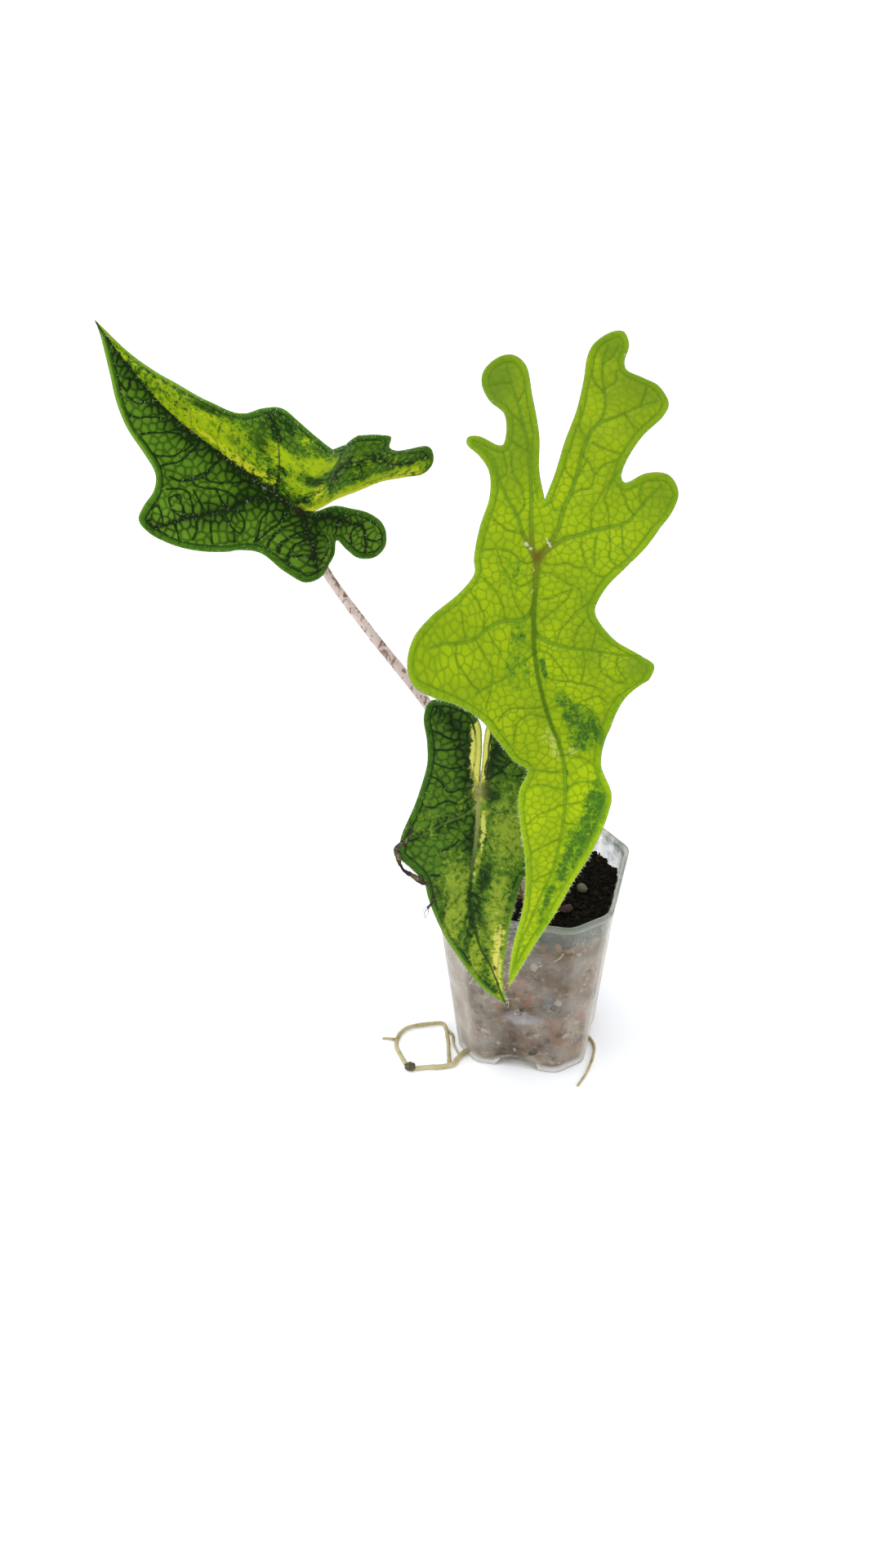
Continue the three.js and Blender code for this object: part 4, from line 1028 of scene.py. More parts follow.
class LeafPaint(Paint):
    """The skin of a blade, from what its points know about veins, margin and marks."""

    def __init__(self, name):
        super().__init__(name)
        self.spot = self.flat()
        for key in ("rib", "side", "net", "edge", "tone", "dull", "reach", "midrib", "crown"):
            setattr(self, key, self.read(key))
        self.under = self.read("under").step(0.4, 0.6)
        self.ragged = self.cloud(self.spot, FLAT_SPAN / 2.7, 7, 0.7, 0.35)
        self.fine = self.cloud(self.spot, FLAT_SPAN / 1.0, 4, 0.7)
        self.broad = self.cloud(self.spot, FLAT_SPAN / 15, 3, 0.5)
        streak = self.cloud(self.flat((1, 0.3, 1)), FLAT_SPAN / 2.2, 6, 0.7)
        shake = (self.ragged - 0.5) * 3.0 + (self.fine - 0.5) * 1.1 + (self.tone - 0.5) * 0.1
        self.lime = self.read("lime") + shake
        self.yellow = (self.read("yellow") + shake * 0.8).step(0.42, 0.74)
        self.dark = self.read("dark") + shake * 0.8 + (streak - 0.5) * 0.9
        # The white marks: painted highlights (glints), partly milky scars.
        self.white = (self.read("white") + (self.fine - 0.5) * 1.6).step(0.5, 0.9)
        self.inner = self.net.step(0.1, 0.85)
        self.body, self.core = self.rib.step(1.35, 0.75), self.rib.step(0.7, 0.25)

    def lime_skin(self):
        """The lime leaf in front: its upper and lower colour, and the glow of light through it with its share."""
        veil = (self.broad * 1.5 + self.ragged - 0.8).at_least(0.08).at_most(0.6)
        # The dark line along the midrib, between the crown and the crease, is painted shadow of the midrib's groove.
        midrib = self.midrib * self.reach.step(0.46, 0.36) * self.reach.step(0.0, 0.1)
        base = self.coats(
            self.mix((self.broad * 0.65 + self.ragged * 0.35).step(0.38, 0.62), rgb(132, 160, 18), rgb(168, 192, 12)),
            (self.inner * 0.3 + self.tone * 0.12, rgb(176, 200, 14)),
            (self.dull * 0.7, rgb(96, 130, 30)),
            (self.yellow * 0.75, rgb(200, 212, 96)),
            (self.dark.step(0.26, 0.62) * 0.75, rgb(104, 148, 22)),
            (self.dark.step(0.58, 0.84) * 0.9, self.mix(self.inner * 0.4, rgb(30, 76, 22), rgb(48, 100, 26))),
            (self.net.step(0.36, 0.08) * veil * (0.55 + self.reach.step(-0.32, -0.1) * 0.45), rgb(98, 134, 18)),
            (self.side.step(1.1, 0.1) * 0.24 + self.side.step(0.42, 0.14) * (0.2 + self.broad * 0.4), rgb(86, 124, 18)),
            (self.edge.step(2.7, 1.9) * 0.4, rgb(118, 160, 20)),
            (self.edge.step(0.8, 0.2) * 0.6, rgb(158, 192, 60)),
            (self.body * 0.75, self.coats(rgb(78, 122, 20), (self.core, rgb(124, 156, 32)), (midrib, rgb(28, 60, 12)))),
            (self.rib.step(2.6, 1.2) * 0.25, rgb(92, 136, 22)),
            (self.read("fan") * self.rib.step(2.2, 0.8) * 0.8, rgb(116, 108, 30)),
            (self.crown ** 1.6 * 0.8, rgb(110, 88, 30)),
            # Painted highlights (glints) of the white marks, partly milky scars.
            (self.white * 0.8, (0.75, 0.78, 0.6)),
            # Painted light and shade: the upper lobes are darkened as painted shade, and the blade past the crease and
            # its tip are brightened as painted light.
            (self.reach.step(-0.1, -0.3), (0.86, 0.86, 0.95), "MULTIPLY"),
            (self.reach.step(0.4, 0.5), (1.4, 1.34, 1.05), "MULTIPLY"),
            (self.reach.step(0.6, 0.95), (1.22, 1.16, 1.0), "MULTIPLY"),
        )
        beneath = self.coats(base, (0.5, rgb(128, 158, 70)), (self.body * 0.7, rgb(156, 168, 96)))
        return base, beneath, rgb(178, 206, 16), 0.3 - self.dark.step(0.5, 0.86) * 0.22

    def dark_skin(self, look, green):
        """A dark leaf with lime and yellow marks: the same four results."""
        lime, bright, pale, rim = DARK_LEAF_TONES[look]
        near = self.rib.step(13, 1)
        cells = self.inner * 0.45 + (1 - near) * 0.55 + self.tone * 0.2 + (self.broad - 0.5) * 0.9 - 0.22
        quiet = self.lime.step(0.3, 0.6)
        base = self.coats(
            self.mix(cells.at_least(0).at_most(1), rgb(20, 42, 10), green),
            ((self.fine - 0.42).at_least(0) * 0.8, rgb(62, 98, 28)),
            (self.dull * (0.3 + self.inner * 0.6), rgb(110, 150, 44)),
            (self.net.step(0.36, 0.06) * (0.62 - quiet * 0.5) * (0.45 + near * 0.55), rgb(18, 40, 10)),
            (self.lime.step(0.2, 0.44) * 0.85, rgb(66, 104, 24)),
            (self.lime.step(0.4, 0.62), lime),
            (self.lime.step(0.62, 0.95), bright),
            (self.yellow, pale),
            (self.dark.step(0.4, 0.7) * 0.92, self.mix(self.inner * 0.5, rgb(20, 44, 12), rgb(42, 76, 20))),
            (self.side.step(0.6, 0.16) * (0.92 - quiet * 0.62), rgb(16, 36, 10)),
            (self.edge.step(2.6, 1.8) * (1 - self.yellow) * (1 - quiet * 0.6) * 0.6, rgb(52, 96, 22)),
            (self.edge.step(0.8, 0.2) * 0.6, rim),
            (self.edge.step(1.6, 0.6) * self.reach.step(0.35, 0.6) * 0.7, rgb(128, 168, 48)),
        )
        # Painted highlights (glints) of the white marks, partly milky scars, in a pale colour.
        glint_coat = (self.white * 0.6, (0.6, 0.62, 0.56))
        if look == "left":
            base = self.coats(
                base,
                (self.body * (0.95 - quiet * 0.2), self.mix(self.core, rgb(20, 34, 12), rgb(34, 30, 20))),
                (self.rib.step(3.4, 1.1) * 0.5 * (1 - quiet), rgb(20, 40, 12)),
                (self.crown * 0.8, rgb(40, 30, 22)),
                glint_coat,
            )
        else:
            nerve = self.mix(self.midrib, rgb(112, 134, 52), rgb(164, 168, 100))
            pale_rib = self.mix(self.reach.step(0.42, 0.05) * self.reach.step(-0.12, 0.0), rgb(32, 58, 18), nerve)
            base = self.coats(
                base,
                (self.body * (0.5 + self.midrib * 0.35), pale_rib),
                (self.crown * 0.7, rgb(160, 150, 92)),
                glint_coat,
                (self.reach.step(0.4, 0.8), (1.2, 1.12, 0.9), "MULTIPLY"),
                (self.yellow * self.reach.step(0.0, -0.05), (1.3, 1.25, 1.1), "MULTIPLY"),
            )
        beneath = self.coats(base, (0.5, rgb(88, 116, 62)), (self.body * 0.7, rgb(96, 100, 62)))
        return base, beneath, rgb(140, 190, 24), 0.1 + quiet * 0.14


def leaf_paint(name, look, green):
    """The material of a blade. look is front, left or low."""
    paint = LeafPaint(name)
    base, beneath, glow, share = paint.lime_skin() if look == "front" else paint.dark_skin(look, green)
    even = 0.86 if look == "front" else 0.84
    base = paint.coats(base, (paint.under, beneath), (1.0, (even, even, even), "MULTIPLY"))
    pores = paint.cells(paint.spot, FLAT_SPAN / 0.42)
    return paint.finish(
        glow=glow, glow_share=share, base_color=base, roughness=0.4 + paint.fine * 0.2 + paint.under * 0.2,
        normal=paint.relief(pores * 0.5 + paint.fine * 0.6, 0.00012, 0.5),
        specular_ior_level=0.03 if look == "left" else 0.1,
    )


def hair_tree():
    """Short hairs on the parts of a surface that are marked as fuzzy."""
    grow = Grower("leaf_hairs", [
        ("Density", "Float", 1.0e6), ("Length", "Float", 0.0008), ("Thickness", "Float", 0.00004),
        ("Lean", "Float", 0.5), ("Seed", "Int", 1), ("Material", "Material", None),
    ])
    cone = grow.node("GeometryNodeMeshCone", {"fill_type": "NGON"}, {
        "Vertices": 4, "Radius Top": 0.000008, "Radius Bottom": grow.given("Thickness"), "Depth": grow.given("Length"),
    })
    lean = grow.vector("SCALE", grow.random((-1, -1, 0), (1, 1, 6.3), grow.given("Seed")), grow.given("Lean"))
    return grow.end(grow.scattered("fuzz", cone, lean, grow.random(0.4, 1.25, 7)))


def stalk_tree():
    """A round stem along a curve: it narrows towards its tip and has small lumps."""
    grow = Grower("stalk", [
        ("Base Radius", "Float", 0.003), ("Tip Radius", "Float", 0.0018), ("Flare", "Float", 0.0),
        ("Lump Height", "Float", 0.0001), ("Lump Scale", "Float", 300.0), ("Bend Height", "Float", 0.0),
        ("Sides", "Int", 24), ("Material", "Material", None),
    ])
    share = grow.node("GeometryNodeSplineParameter")
    rest = 1 - share
    tip = grow.given("Tip Radius")
    radius = tip + (grow.given("Base Radius") - tip) * rest ** 2 + grow.given("Flare") * rest ** 24
    line = grow.store(grow.given("Geometry"), "share", share)
    ring = grow.node("GeometryNodeCurvePrimitiveCircle", {}, {"Resolution": grow.given("Sides"), "Radius": 1.0})
    tube = grow.node("GeometryNodeCurveToMesh", {}, {
        "Curve": line, "Profile Curve": ring, "Scale": radius, "Fill Caps": True,
    })
    lumps = grow.cloud(grow.node("GeometryNodeInputPosition"), grow.given("Lump Scale"), 3.0, 0.5)
    push = grow.vector("SCALE", grow.node("GeometryNodeInputNormal"), (lumps - 0.5) * 2 * grow.given("Lump Height"))
    return grow.end(grow.moved(tube, push))


def crumb_tree():
    """Angular crumbs scattered over the marked parts of a surface."""
    grow = Grower("crumbs", [
        ("Density", "Float", 1.0e5), ("Size", "Float", 0.0012), ("Flatness", "Float", 0.6),
        ("Crackle", "Float", 0.0004), ("Seed", "Int", 1), ("Material", "Material", None),
    ])
    lump = grow.node("GeometryNodeMeshIcoSphere", {}, {"Radius": grow.given("Size"), "Subdivisions": 2})
    size = grow.random(0.3, 1.0, 5)
    scale = grow.node("ShaderNodeCombineXYZ", {}, {
        "X": size * grow.random(0.7, 1.6, 11), "Y": size, "Z": size * grow.given("Flatness"),
    })
    many = grow.scattered("cover", lump, grow.random((-0.5, -0.5, 0), (0.5, 0.5, 6.3), 3), scale)
    many = grow.store(many, "tone", grow.random(0.0, 1.0, 17), "INSTANCE")
    real = grow.node("GeometryNodeRealizeInstances", {}, {"Geometry": many})
    jag = grow.cloud(grow.node("GeometryNodeInputPosition"), 900.0, 1.0, 0.5, output="Color")
    centred = grow.vector("SUBTRACT", jag, (0.5, 0.5, 0.5))
    return grow.end(grow.moved(real, grow.vector("SCALE", centred, grow.given("Crackle") * 4)))


def line_object(points, gap):
    """A curve object through points in millimetres, as the start of a stem."""
    places = evenly(catmull(points, 16), gap) * MM
    curve = bpy.data.curves.new("line", "CURVE")
    curve.dimensions = "3D"
    spline = curve.splines.new("POLY")
    spline.points.add(len(places) - 1)
    spline.points.foreach_set("co", np.c_[places, np.ones(len(places))].ravel())
    return linked("line", curve)


def copied(piece):
    return linked("source", piece.data.copy())


def joined(name, pieces):
    """Several plain mesh objects as one, which takes over the first one's data."""
    bpy.ops.object.select_all(action="DESELECT")
    for piece in pieces:
        piece.select_set(True)
    bpy.context.view_layer.objects.active = pieces[0]
    bpy.ops.object.join()
    pieces[0].name = pieces[0].data.name = name
    pieces[0].select_set(False)
    return pieces[0]



# Settings
def number_prop(name, description, default, **limits):
    return bpy.props.FloatProperty(name=name, description=description, default=default, **limits)


def length_prop(name, description, default, **limits):
    return number_prop(name, description, default, unit="LENGTH", precision=5, **limits)


def colour_prop(name, description, default):
    return bpy.props.FloatVectorProperty(
        name=name, description=description, default=default, subtype="COLOR", size=3, min=0, max=1
    )


class BladeSettings(bpy.types.PropertyGroup):
    thickness: number_prop("Thickness", "Thickness of a blade away from its ribs, in millimetres", 0.5, min=0.2, max=1)
    relief: number_prop("Relief", "How deep the veins are sunk and how far cells swell", 1.0, min=0, max=2)
    net_cell: number_prop("Net cell", "Size of a cell of the finest veins, in millimetres", 2.3, min=1.2, max=5)
    hair_length: length_prop("Hair length", "Length of the hairs on margins and veins", 0.001, min=0)
    green: colour_prop("Green", "The cells of a dark blade", rgb(94, 136, 30))


class StalkSettings(bpy.types.PropertyGroup):
    lump_height: length_prop("Lump height", "How far the skin of a stalk rises and falls", 0.00008, min=0)
    skin: colour_prop("Skin", "The pale skin of the stalks", rgb(208, 192, 184))
    fleck: colour_prop("Fleck", "The brown flecks across the stalks", rgb(104, 66, 48))
    root: colour_prop("Root", "The skin of the roots", rgb(192, 182, 142))


class PotSettings(bpy.types.PropertyGroup):
    top: length_prop("Width at the top", "Outer width of the pot under its rim", 0.070, min=0.01)
    bottom: length_prop("Width at the foot", "Outer width of the pot at its foot", 0.052, min=0.01)
    height: length_prop("Height", "Height of the pot", float(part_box("pot")[1].z), min=0.01)
    wall: length_prop("Wall", "Thickness of the pot's wall", 0.001, min=0.0002)
    lip: length_prop("Rim", "How far the rim stands out", 0.0009, min=0)
    film: colour_prop("Film", "The clouded plastic", rgb(172, 162, 146))
    haze: number_prop("Haze", "How milky the plastic is", 0.16, min=0, max=1, subtype="FACTOR")


class MixSettings(bpy.types.PropertyGroup):
    soil: colour_prop("Mix", "The wet dark potting mix", rgb(12, 13, 7))
    bark: colour_prop("Bark", "The bark in the mix", rgb(52, 33, 20))
    pumice: colour_prop("Pumice", "The pale pumice in the mix", rgb(112, 104, 86))


class StageSettings(bpy.types.PropertyGroup):
    floor: colour_prop("Floor", "The plain surface under the pot", (0.91, 0.92, 0.95))
    reach: length_prop("Reach", "Radius of the floor", 9.0, min=1)
    daylight: number_prop("Daylight", "Strength of the even light from all round", 0.98, min=0, max=3)


# Operators
class PLANT_OT_stage(bpy.types.Operator):
    """Sets up the floor, the light and the camera"""

    bl_idname = "plant.stage"
    bl_label = "Stage"

    def execute(self, context):
        settings = context.scene.plant_stage
        paint = Paint("floor")
        # Bluish patches of painted shade on the floor.
        painted_floor_shade = paint.cloud(paint.place(), 1.6, 2, 0.5)
        floor_finish = paint.finish(
            base_color=paint.mix(painted_floor_shade.step(0.4, 0.75) * 0.35, tuple(settings.floor), (0.86, 0.9, 0.98)),
            roughness=0.7, specular_ior_level=0.1, emission_color=(0.97, 0.98, 1.0), emission_strength=0.16,
        )
        sides = 64
        turn = np.arange(sides) * 2 * math.pi / sides
        ring = np.c_[np.cos(turn), np.sin(turn), np.zeros(sides)] * settings.reach / MM
        mesh_piece("floor", ring, [range(sides)], floor_finish)
        world = bpy.data.worlds.new("daylight")
        world.use_nodes = True
        background = world.node_tree.nodes["Background"]
        background.inputs["Color"].default_value = (0.97, 0.985, 1.0, 1)
        background.inputs["Strength"].default_value = settings.daylight
        context.scene.world = world
        for name, place, size, power in LAMPS:
            data = bpy.data.lights.new(name, "AREA")
            data.shape, data.size, data.energy = "DISK", size, power
            lamp = linked(name, data)
            lamp.location = place
            x, y, z = np.array(LAMP_TARGET) - place
            lamp.rotation_euler = (math.atan2(math.hypot(x, y), -z), 0, math.atan2(y, x) - math.pi / 2)
        lens = bpy.data.cameras.new("camera")
        lens.lens = LENS
        camera = linked("camera", lens)
        camera.location = CAMERA_PLACE
        camera.rotation_euler = (CAMERA_TILT, 0, 0)
        context.scene.camera = camera
        context.scene.view_settings.view_transform = "Standard"
        return {"FINISHED"}


class PLANT_OT_blades(bpy.types.Operator):
    """Makes the three leaf blades and their hairs"""

    bl_idname = "plant.blades"
    bl_label = "Leaf blades"

    def execute(self, context):
        settings = context.scene.plant_blades
        hairs = hair_tree()
        paint = Paint("hair")
        tint = paint.mix(paint.cloud(paint.place(), 400.0), (0.8, 0.86, 0.62), (0.9, 0.92, 0.8))
        hair_finish = paint.finish(base_color=tint, roughness=0.5)
        for seed, (look, leaf) in enumerate(LEAVES.items(), start=3):
            skin = leaf_paint(f"leaf_{look}", look, tuple(settings.green))
            made = blade(f"blade_{look}_skin", leaf, settings, skin, seed * 100)
            placed(made, leaf["slot"], leaf["node"])
            fluff = grown(
                hairs, copied(made), f"hairs_{look}", density=3.4e6, length=settings.hair_length,
                thickness=0.00005, lean=0.6, seed=seed, material=hair_finish,
            )
            placed(fluff, leaf["slot"])
        return {"FINISHED"}


class PLANT_OT_withered(bpy.types.Operator):
    """Makes the shrivelled brown edge of the low leaf"""

    bl_idname = "plant.withered"
    bl_label = "Withered edge"

    def execute(self, context):
        sheet = Sheet(LEAVES["low"])
        paint = Paint("withered")
        spot = paint.place()
        tone = paint.ramp(
            paint.cloud(spot, 260.0, 5, 0.7),
            (0.34, rgb(14, 10, 6)), (0.48, rgb(36, 28, 16)), (0.58, rgb(84, 76, 44)), (0.7, rgb(156, 146, 98)),
        )
        dry = paint.finish(base_color=tone, roughness=0.85, normal=paint.relief(paint.cloud(spot, 900.0), 0.0003, 0.8))
        line = evenly(catmull(WITHERED_EDGE, 10), 0.35)
        ahead = unit(np.gradient(line, axis=0))
        outward = np.c_[-ahead[:, 1], ahead[:, 0]]
        share = np.linspace(0, 1, len(line))
        span = 0.62 + 0.32 * np.sin(share * 21) + 0.6 * bell(share - 0.38, 0.1)
        span *= np.clip(share * 9, 0.15, 1) * np.clip((1 - share) * 14, 0.25, 1)
        sides = 14
        rings = []
        for a in np.arange(sides) * 2 * math.pi / sides:
            wide, high = math.cos(a), math.sin(a)
            curl = 0.7 * np.sin(share * 34 + wide * 2.4) * (0.4 + 0.6 * abs(wide)) + 0.35
            rings.append(sheet.place(line + outward * (span * wide)[:, None], curl + 0.24 * high - 0.2))
        points = np.stack(rings, 1).reshape(-1, 3)
        points += 0.22 * np.stack([cloud(points, 1.1, s) for s in (61, 62, 63)], -1)
        crust = mesh_piece("withered_edge", points, tube_faces(len(line), sides), dry)
        threads = []
        tree = stalk_tree()
        for start, route in WITHERED_THREADS:
            root = sheet.place(np.array([start], float), np.array([0.3]))[0]
            threads.append(grown(
                tree, line_object([root, *(root + np.array(r) for r in route)], 0.3), "thread",
                base_radius=0.0002, tip_radius=0.00008, lump_height=0.00003, lump_scale=900.0, sides=6, material=dry,
            ))
        placed(joined("withered_edge", [crust, *threads]), "leaf_dark")
        return {"FINISHED"}


def tube_faces(rows, sides):
    """Faces of a closed tube whose rings follow one another, with fans at its ends."""
    faces = []
    for i in range(rows - 1):
        for k in range(sides):
            j = (k + 1) % sides
            faces.append([i * sides + k, i * sides + j, (i + 1) * sides + j, (i + 1) * sides + k])
    faces.append(list(range(sides))[::-1])
    faces.append([(rows - 1) * sides + k for k in range(sides)])
    return faces


def facing_out(piece):
    """Turns a closed mesh's faces outwards."""
    shape = bmesh.new()
    shape.from_mesh(piece.data)
    bmesh.ops.recalc_face_normals(shape, faces=shape.faces)
    shape.to_mesh(piece.data)
    shape.free()
    return piece


class PLANT_OT_stalks(bpy.types.Operator):
    """Makes the three leaf stalks and the papery sheaths at their feet"""

    bl_idname = "plant.stalks"
    bl_label = "Leaf stalks"

    def execute(self, context):
        settings = context.scene.plant_stalks
        paint = Paint("stalk_skin")
        spot = paint.place((1, 1, 0.42))
        share = paint.read("share")
        patch = paint.cloud(spot, 520.0, 4, 0.65, 0.4)
        speck = paint.cloud(paint.place(), 1500.0, 3, 0.6)
        grain = paint.cloud(paint.place((1, 1, 0.1)), 2600.0, 3)
        skin = paint.coats(
            tuple(settings.skin),
            (paint.cloud(spot, 120.0, 2), rgb(196, 176, 168)),
            (share.step(0.25, 0.02) * 0.6, rgb(176, 176, 128)),
            (share.step(0.965, 1.0) * 0.7, rgb(132, 140, 70)),
            ((patch + (speck - 0.5) * 0.3).step(0.52, 0.58) * 0.85, tuple(settings.fleck)),
            (grain.step(0.5, 0.75) * 0.25, rgb(226, 214, 206)),
        )
        stalk_finish = paint.finish(
            base_color=skin, roughness=0.42 + speck * 0.15, normal=paint.relief(grain, 0.00012, 0.5),
            specular_ior_level=0.4, glow=rgb(222, 196, 180), glow_share=0.08,
        )
        tree = stalk_tree()
        for name, (node, look, base, route, wide, thin, _) in STALKS.items():
            sheet = Sheet(LEAVES[look])
            home = LEAVES[look]["stalk_point"] * Sheet.STEPS
            middle, up = sheet.line[home], sheet.up[home]
            foot = [[*base, CORM_TOP - 1.5], [*base, CORM_TOP + 8]]
            points = foot + route + [list(middle - up * 6), list(middle - up * 1.25)]
            made = grown(
                tree, line_object(points, 0.8), name, base_radius=wide * MM, tip_radius=thin * MM, flare=0.0005,
                lump_height=settings.lump_height, lump_scale=420.0, sides=28, material=stalk_finish,
            )
            placed(made, "stem_skin", node)
        self.add_sheaths()
        return {"FINISHED"}

    def add_sheaths(self):
        """Papery wings that wrap each stalk where it leaves the corm."""
        paint = Paint("sheath")
        fibre = paint.cloud(paint.place((1, 1, 0.12)), 1800.0, 4, 0.6)
        tone = paint.ramp(fibre, (0.3, rgb(96, 72, 50)), (0.5, rgb(158, 136, 104)), (0.7, rgb(200, 186, 156)))
        papery = paint.finish(base_color=tone, roughness=0.6, normal=paint.relief(fibre, 0.0002, 0.7))
        pieces = []
        for number, (_, _, base, route, wide, _, tall) in enumerate(STALKS.values()):
            line = evenly(catmull([[*base, CORM_TOP - 2], [*base, CORM_TOP + 8], route[0]], 16), 0.5)
            run = np.r_[0, np.cumsum(np.linalg.norm(np.diff(line, axis=0), axis=1))]
            line, run = line[run < tall], run[run < tall]
            share = run / tall
            middle = math.atan2(-base[1], -base[0]) + math.pi
            half = np.radians(165 - 150 * share**1.6)
            shells = []
            for skin in (0.34, 0.02):
                grid = []
                for k, side in enumerate(np.linspace(-1, 1, 22)):
                    radius = wide * (1.16 - 0.2 * share) + skin + 0.3 * np.abs(side) ** 3
                    radius = radius + 0.12 * cloud(line + [k * 0.5, 0, 0], 3.0, 70 + number)
                    a = middle + half * side
                    grid.append(line + np.c_[np.cos(a) * radius, np.sin(a) * radius, np.zeros(len(line))])
                shells.append(np.stack(grid, 1))
            ring = np.concatenate([shells[0], shells[1][:, ::-1]], axis=1)
            faces = tube_faces(ring.shape[0], ring.shape[1])
            pieces.append(facing_out(mesh_piece("sheath", ring.reshape(-1, 3), faces, papery)))
        placed(joined("stalk_sheaths", pieces), "stem_skin")


class PLANT_OT_corm(bpy.types.Operator):
    """Makes the ringed corm that the stalks grow from"""

    bl_idname = "plant.corm"
    bl_label = "Corm"

    def execute(self, context):
        rows = catmull(CORM_PROFILE, 10)[1:-1]
        sides = 72
        turn = np.arange(sides) * 2 * math.pi / sides
        out = np.stack([np.cos(turn), np.sin(turn), np.zeros(sides)], -1)
        points = rows[:, :1, None] * out + rows[:, 1:, None] * [0, 0, 1]
        rings = 0.22 * np.sin(rows[:, None, 1] * 3.6 + 0.8 * np.cos(turn * 3))
        rough = 0.3 * cloud(points * [1, 1, 2.2], 2.2, 81)
        points = points + (rings + rough - 0.35)[..., None] * out * np.minimum(rows[:, :1] / 3, 1)[..., None]
        points[..., 2] += np.where(rows[:, None, 1] > 75, 0.3 * cloud(points, 1.6, 85), 0)
        paint = Paint("corm_skin")
        fibre = paint.cloud(paint.place((1, 1, 3)), 420.0, 6, 0.7)
        bands = paint.cloud(paint.place((0.2, 0.2, 3)), 260.0, 3, 0.6)
        tone = paint.ramp(
            fibre * 0.6 + bands * 0.4,
            (0.28, rgb(38, 26, 18)), (0.46, rgb(88, 62, 42)), (0.6, rgb(130, 98, 68)), (0.75, rgb(172, 144, 108)),
        )
        finish = paint.finish(base_color=tone, roughness=0.85, normal=paint.relief(fibre + bands, 0.0006, 0.8))
        made = mesh_piece("corm_body", points.reshape(-1, 3), tube_faces(len(rows), sides), finish)
        placed(facing_out(made), "corm_skin", "corm")
        return {"FINISHED"}


class PLANT_OT_roots(bpy.types.Operator):
    """Makes the roots that have grown out of the pot's foot"""

    bl_idname = "plant.roots"
    bl_label = "Roots"

    def execute(self, context):
        settings = context.scene.plant_stalks
        paint = Paint("root_skin")
        spot = paint.place()
        patch = paint.cloud(spot, 160.0, 5, 0.65)
        fine = paint.cloud(spot, 1400.0, 3)
        tone = paint.coats(
            tuple(settings.root),
            (patch.step(0.35, 0.7), rgb(168, 156, 104)),
            ((patch + fine * 0.4).step(0.75, 0.9) * 0.6, rgb(120, 104, 66)),
            (paint.read("share").step(0.12, 0.0) * 0.8, rgb(104, 78, 46)),
        )
        finish = paint.finish(
            base_color=tone, roughness=0.75, normal=paint.relief(fine, 0.0002, 0.7),
            glow=rgb(220, 206, 150), glow_share=0.1,
        )
        paint = Paint("root_knot")
        lumps = paint.cloud(paint.place(), 600.0, 5, 0.7)
        knot_tone = paint.mix(lumps.step(0.35, 0.7), rgb(60, 54, 40), rgb(112, 104, 76))
        knot_finish = paint.finish(base_color=knot_tone, roughness=0.9, normal=paint.relief(lumps, 0.0005, 0.8))
        tree = stalk_tree()

        def root(name, route, radius):
            shares = np.linspace(0, 1, len(route))
            middle = [[x, y, z + radius * (1 - 0.35 * s)] for (x, y, z), s in zip(route, shares)]
            return grown(
                tree, line_object(middle, 0.35), name, base_radius=radius * MM, tip_radius=radius * 0.62 * MM,
                lump_height=0.00022 * radius, lump_scale=520.0, sides=14, material=finish,
            )

        ring = [root("ring", ROOT_RING, 1.2), root("spur", ROOT_SPUR, 0.75), root("bridge", ROOT_BRIDGE, 0.75)]
        knot = lump_piece("knot", ROOT_NODE, (2.1, 1.9, 1.75), 0.4, 91, knot_finish, 5)
        placed(laid(joined("root_ring_out", [*ring, knot])), "root_skin", "root_ring")
        placed(laid(root("root_tip_out", ROOT_TIP, 0.85)), "root_skin", "root_tip")
        return {"FINISHED"}


def laid(piece):
    """Presses flat what would reach under the surface that the pot stands on."""
    for point in piece.data.vertices:
        point.co.z = max(point.co.z, 0.02 * MM)
    return piece


def lump_piece(name, place, radii, rough, seed, material, fineness=4):
    """A rounded, knobbly lump."""
    shape = bmesh.new()
    bmesh.ops.create_icosphere(shape, subdivisions=fineness, radius=1)
    points = np.array([v.co[:] for v in shape.verts])
    faces = [[v.index for v in f.verts] for f in shape.faces]
    shape.free()
    push = 1 + rough * cloud(points, 0.9, seed, 4)
    return mesh_piece(name, points * push[:, None] * radii + place, faces, material)


# Pot and mix
def rounded_outline(corner=0.05, flats=24, arc=7):
    """A square of side 1 with cut corners and softly rounded edges, as points and outward directions."""
    near = 0.5 - POT_CHAMFER_SHARE
    corners = np.array([
        (0.5, -near), (0.5, near), (near, 0.5), (-near, 0.5), (-0.5, near), (-0.5, -near), (-near, -0.5), (near, -0.5),
    ])
    points = []
    for i in range(8):
        before, here, after = corners[i - 1], corners[i], corners[(i + 1) % 8]
        start = here + unit(before - here) * corner
        end = here + unit(after - here) * corner
        for u in np.linspace(0, 1, arc):
            points.append((1 - u) ** 2 * start + 2 * u * (1 - u) * here + u**2 * end)
        following = after + unit(here - after) * corner
        for u in np.linspace(0, 1, flats)[1:-1]:
            points.append(end + (following - end) * u)
    return np.array(points)


def arch_height(outline, grow=0.0):
    """Height of the foot's arches at each place round the pot."""
    off = np.minimum(np.abs(outline[:, 0]), np.abs(outline[:, 1]))
    off = off * ARCH_SPAN / (np.max(np.abs(outline), axis=1) * 2)
    radius = ARCH_RADIUS + grow
    return np.maximum(np.sqrt(np.maximum(radius**2 - off**2, 0)) - (ARCH_RADIUS - ARCH_HEIGHT), 0)


def turned(points, angle=POT_TURN):
    """Points turned round the upright axis."""
    c, s = math.cos(angle), math.sin(angle)
    return points @ np.array([[c, s, 0], [-s, c, 0], [0, 0, 1]])


def pot_width(settings, level):
    """Outer width of the pot at a height, both in millimetres."""
    top, bottom, height = (value / MM for value in (settings.top, settings.bottom, settings.height))
    return bottom + (top - bottom) * (level / height)


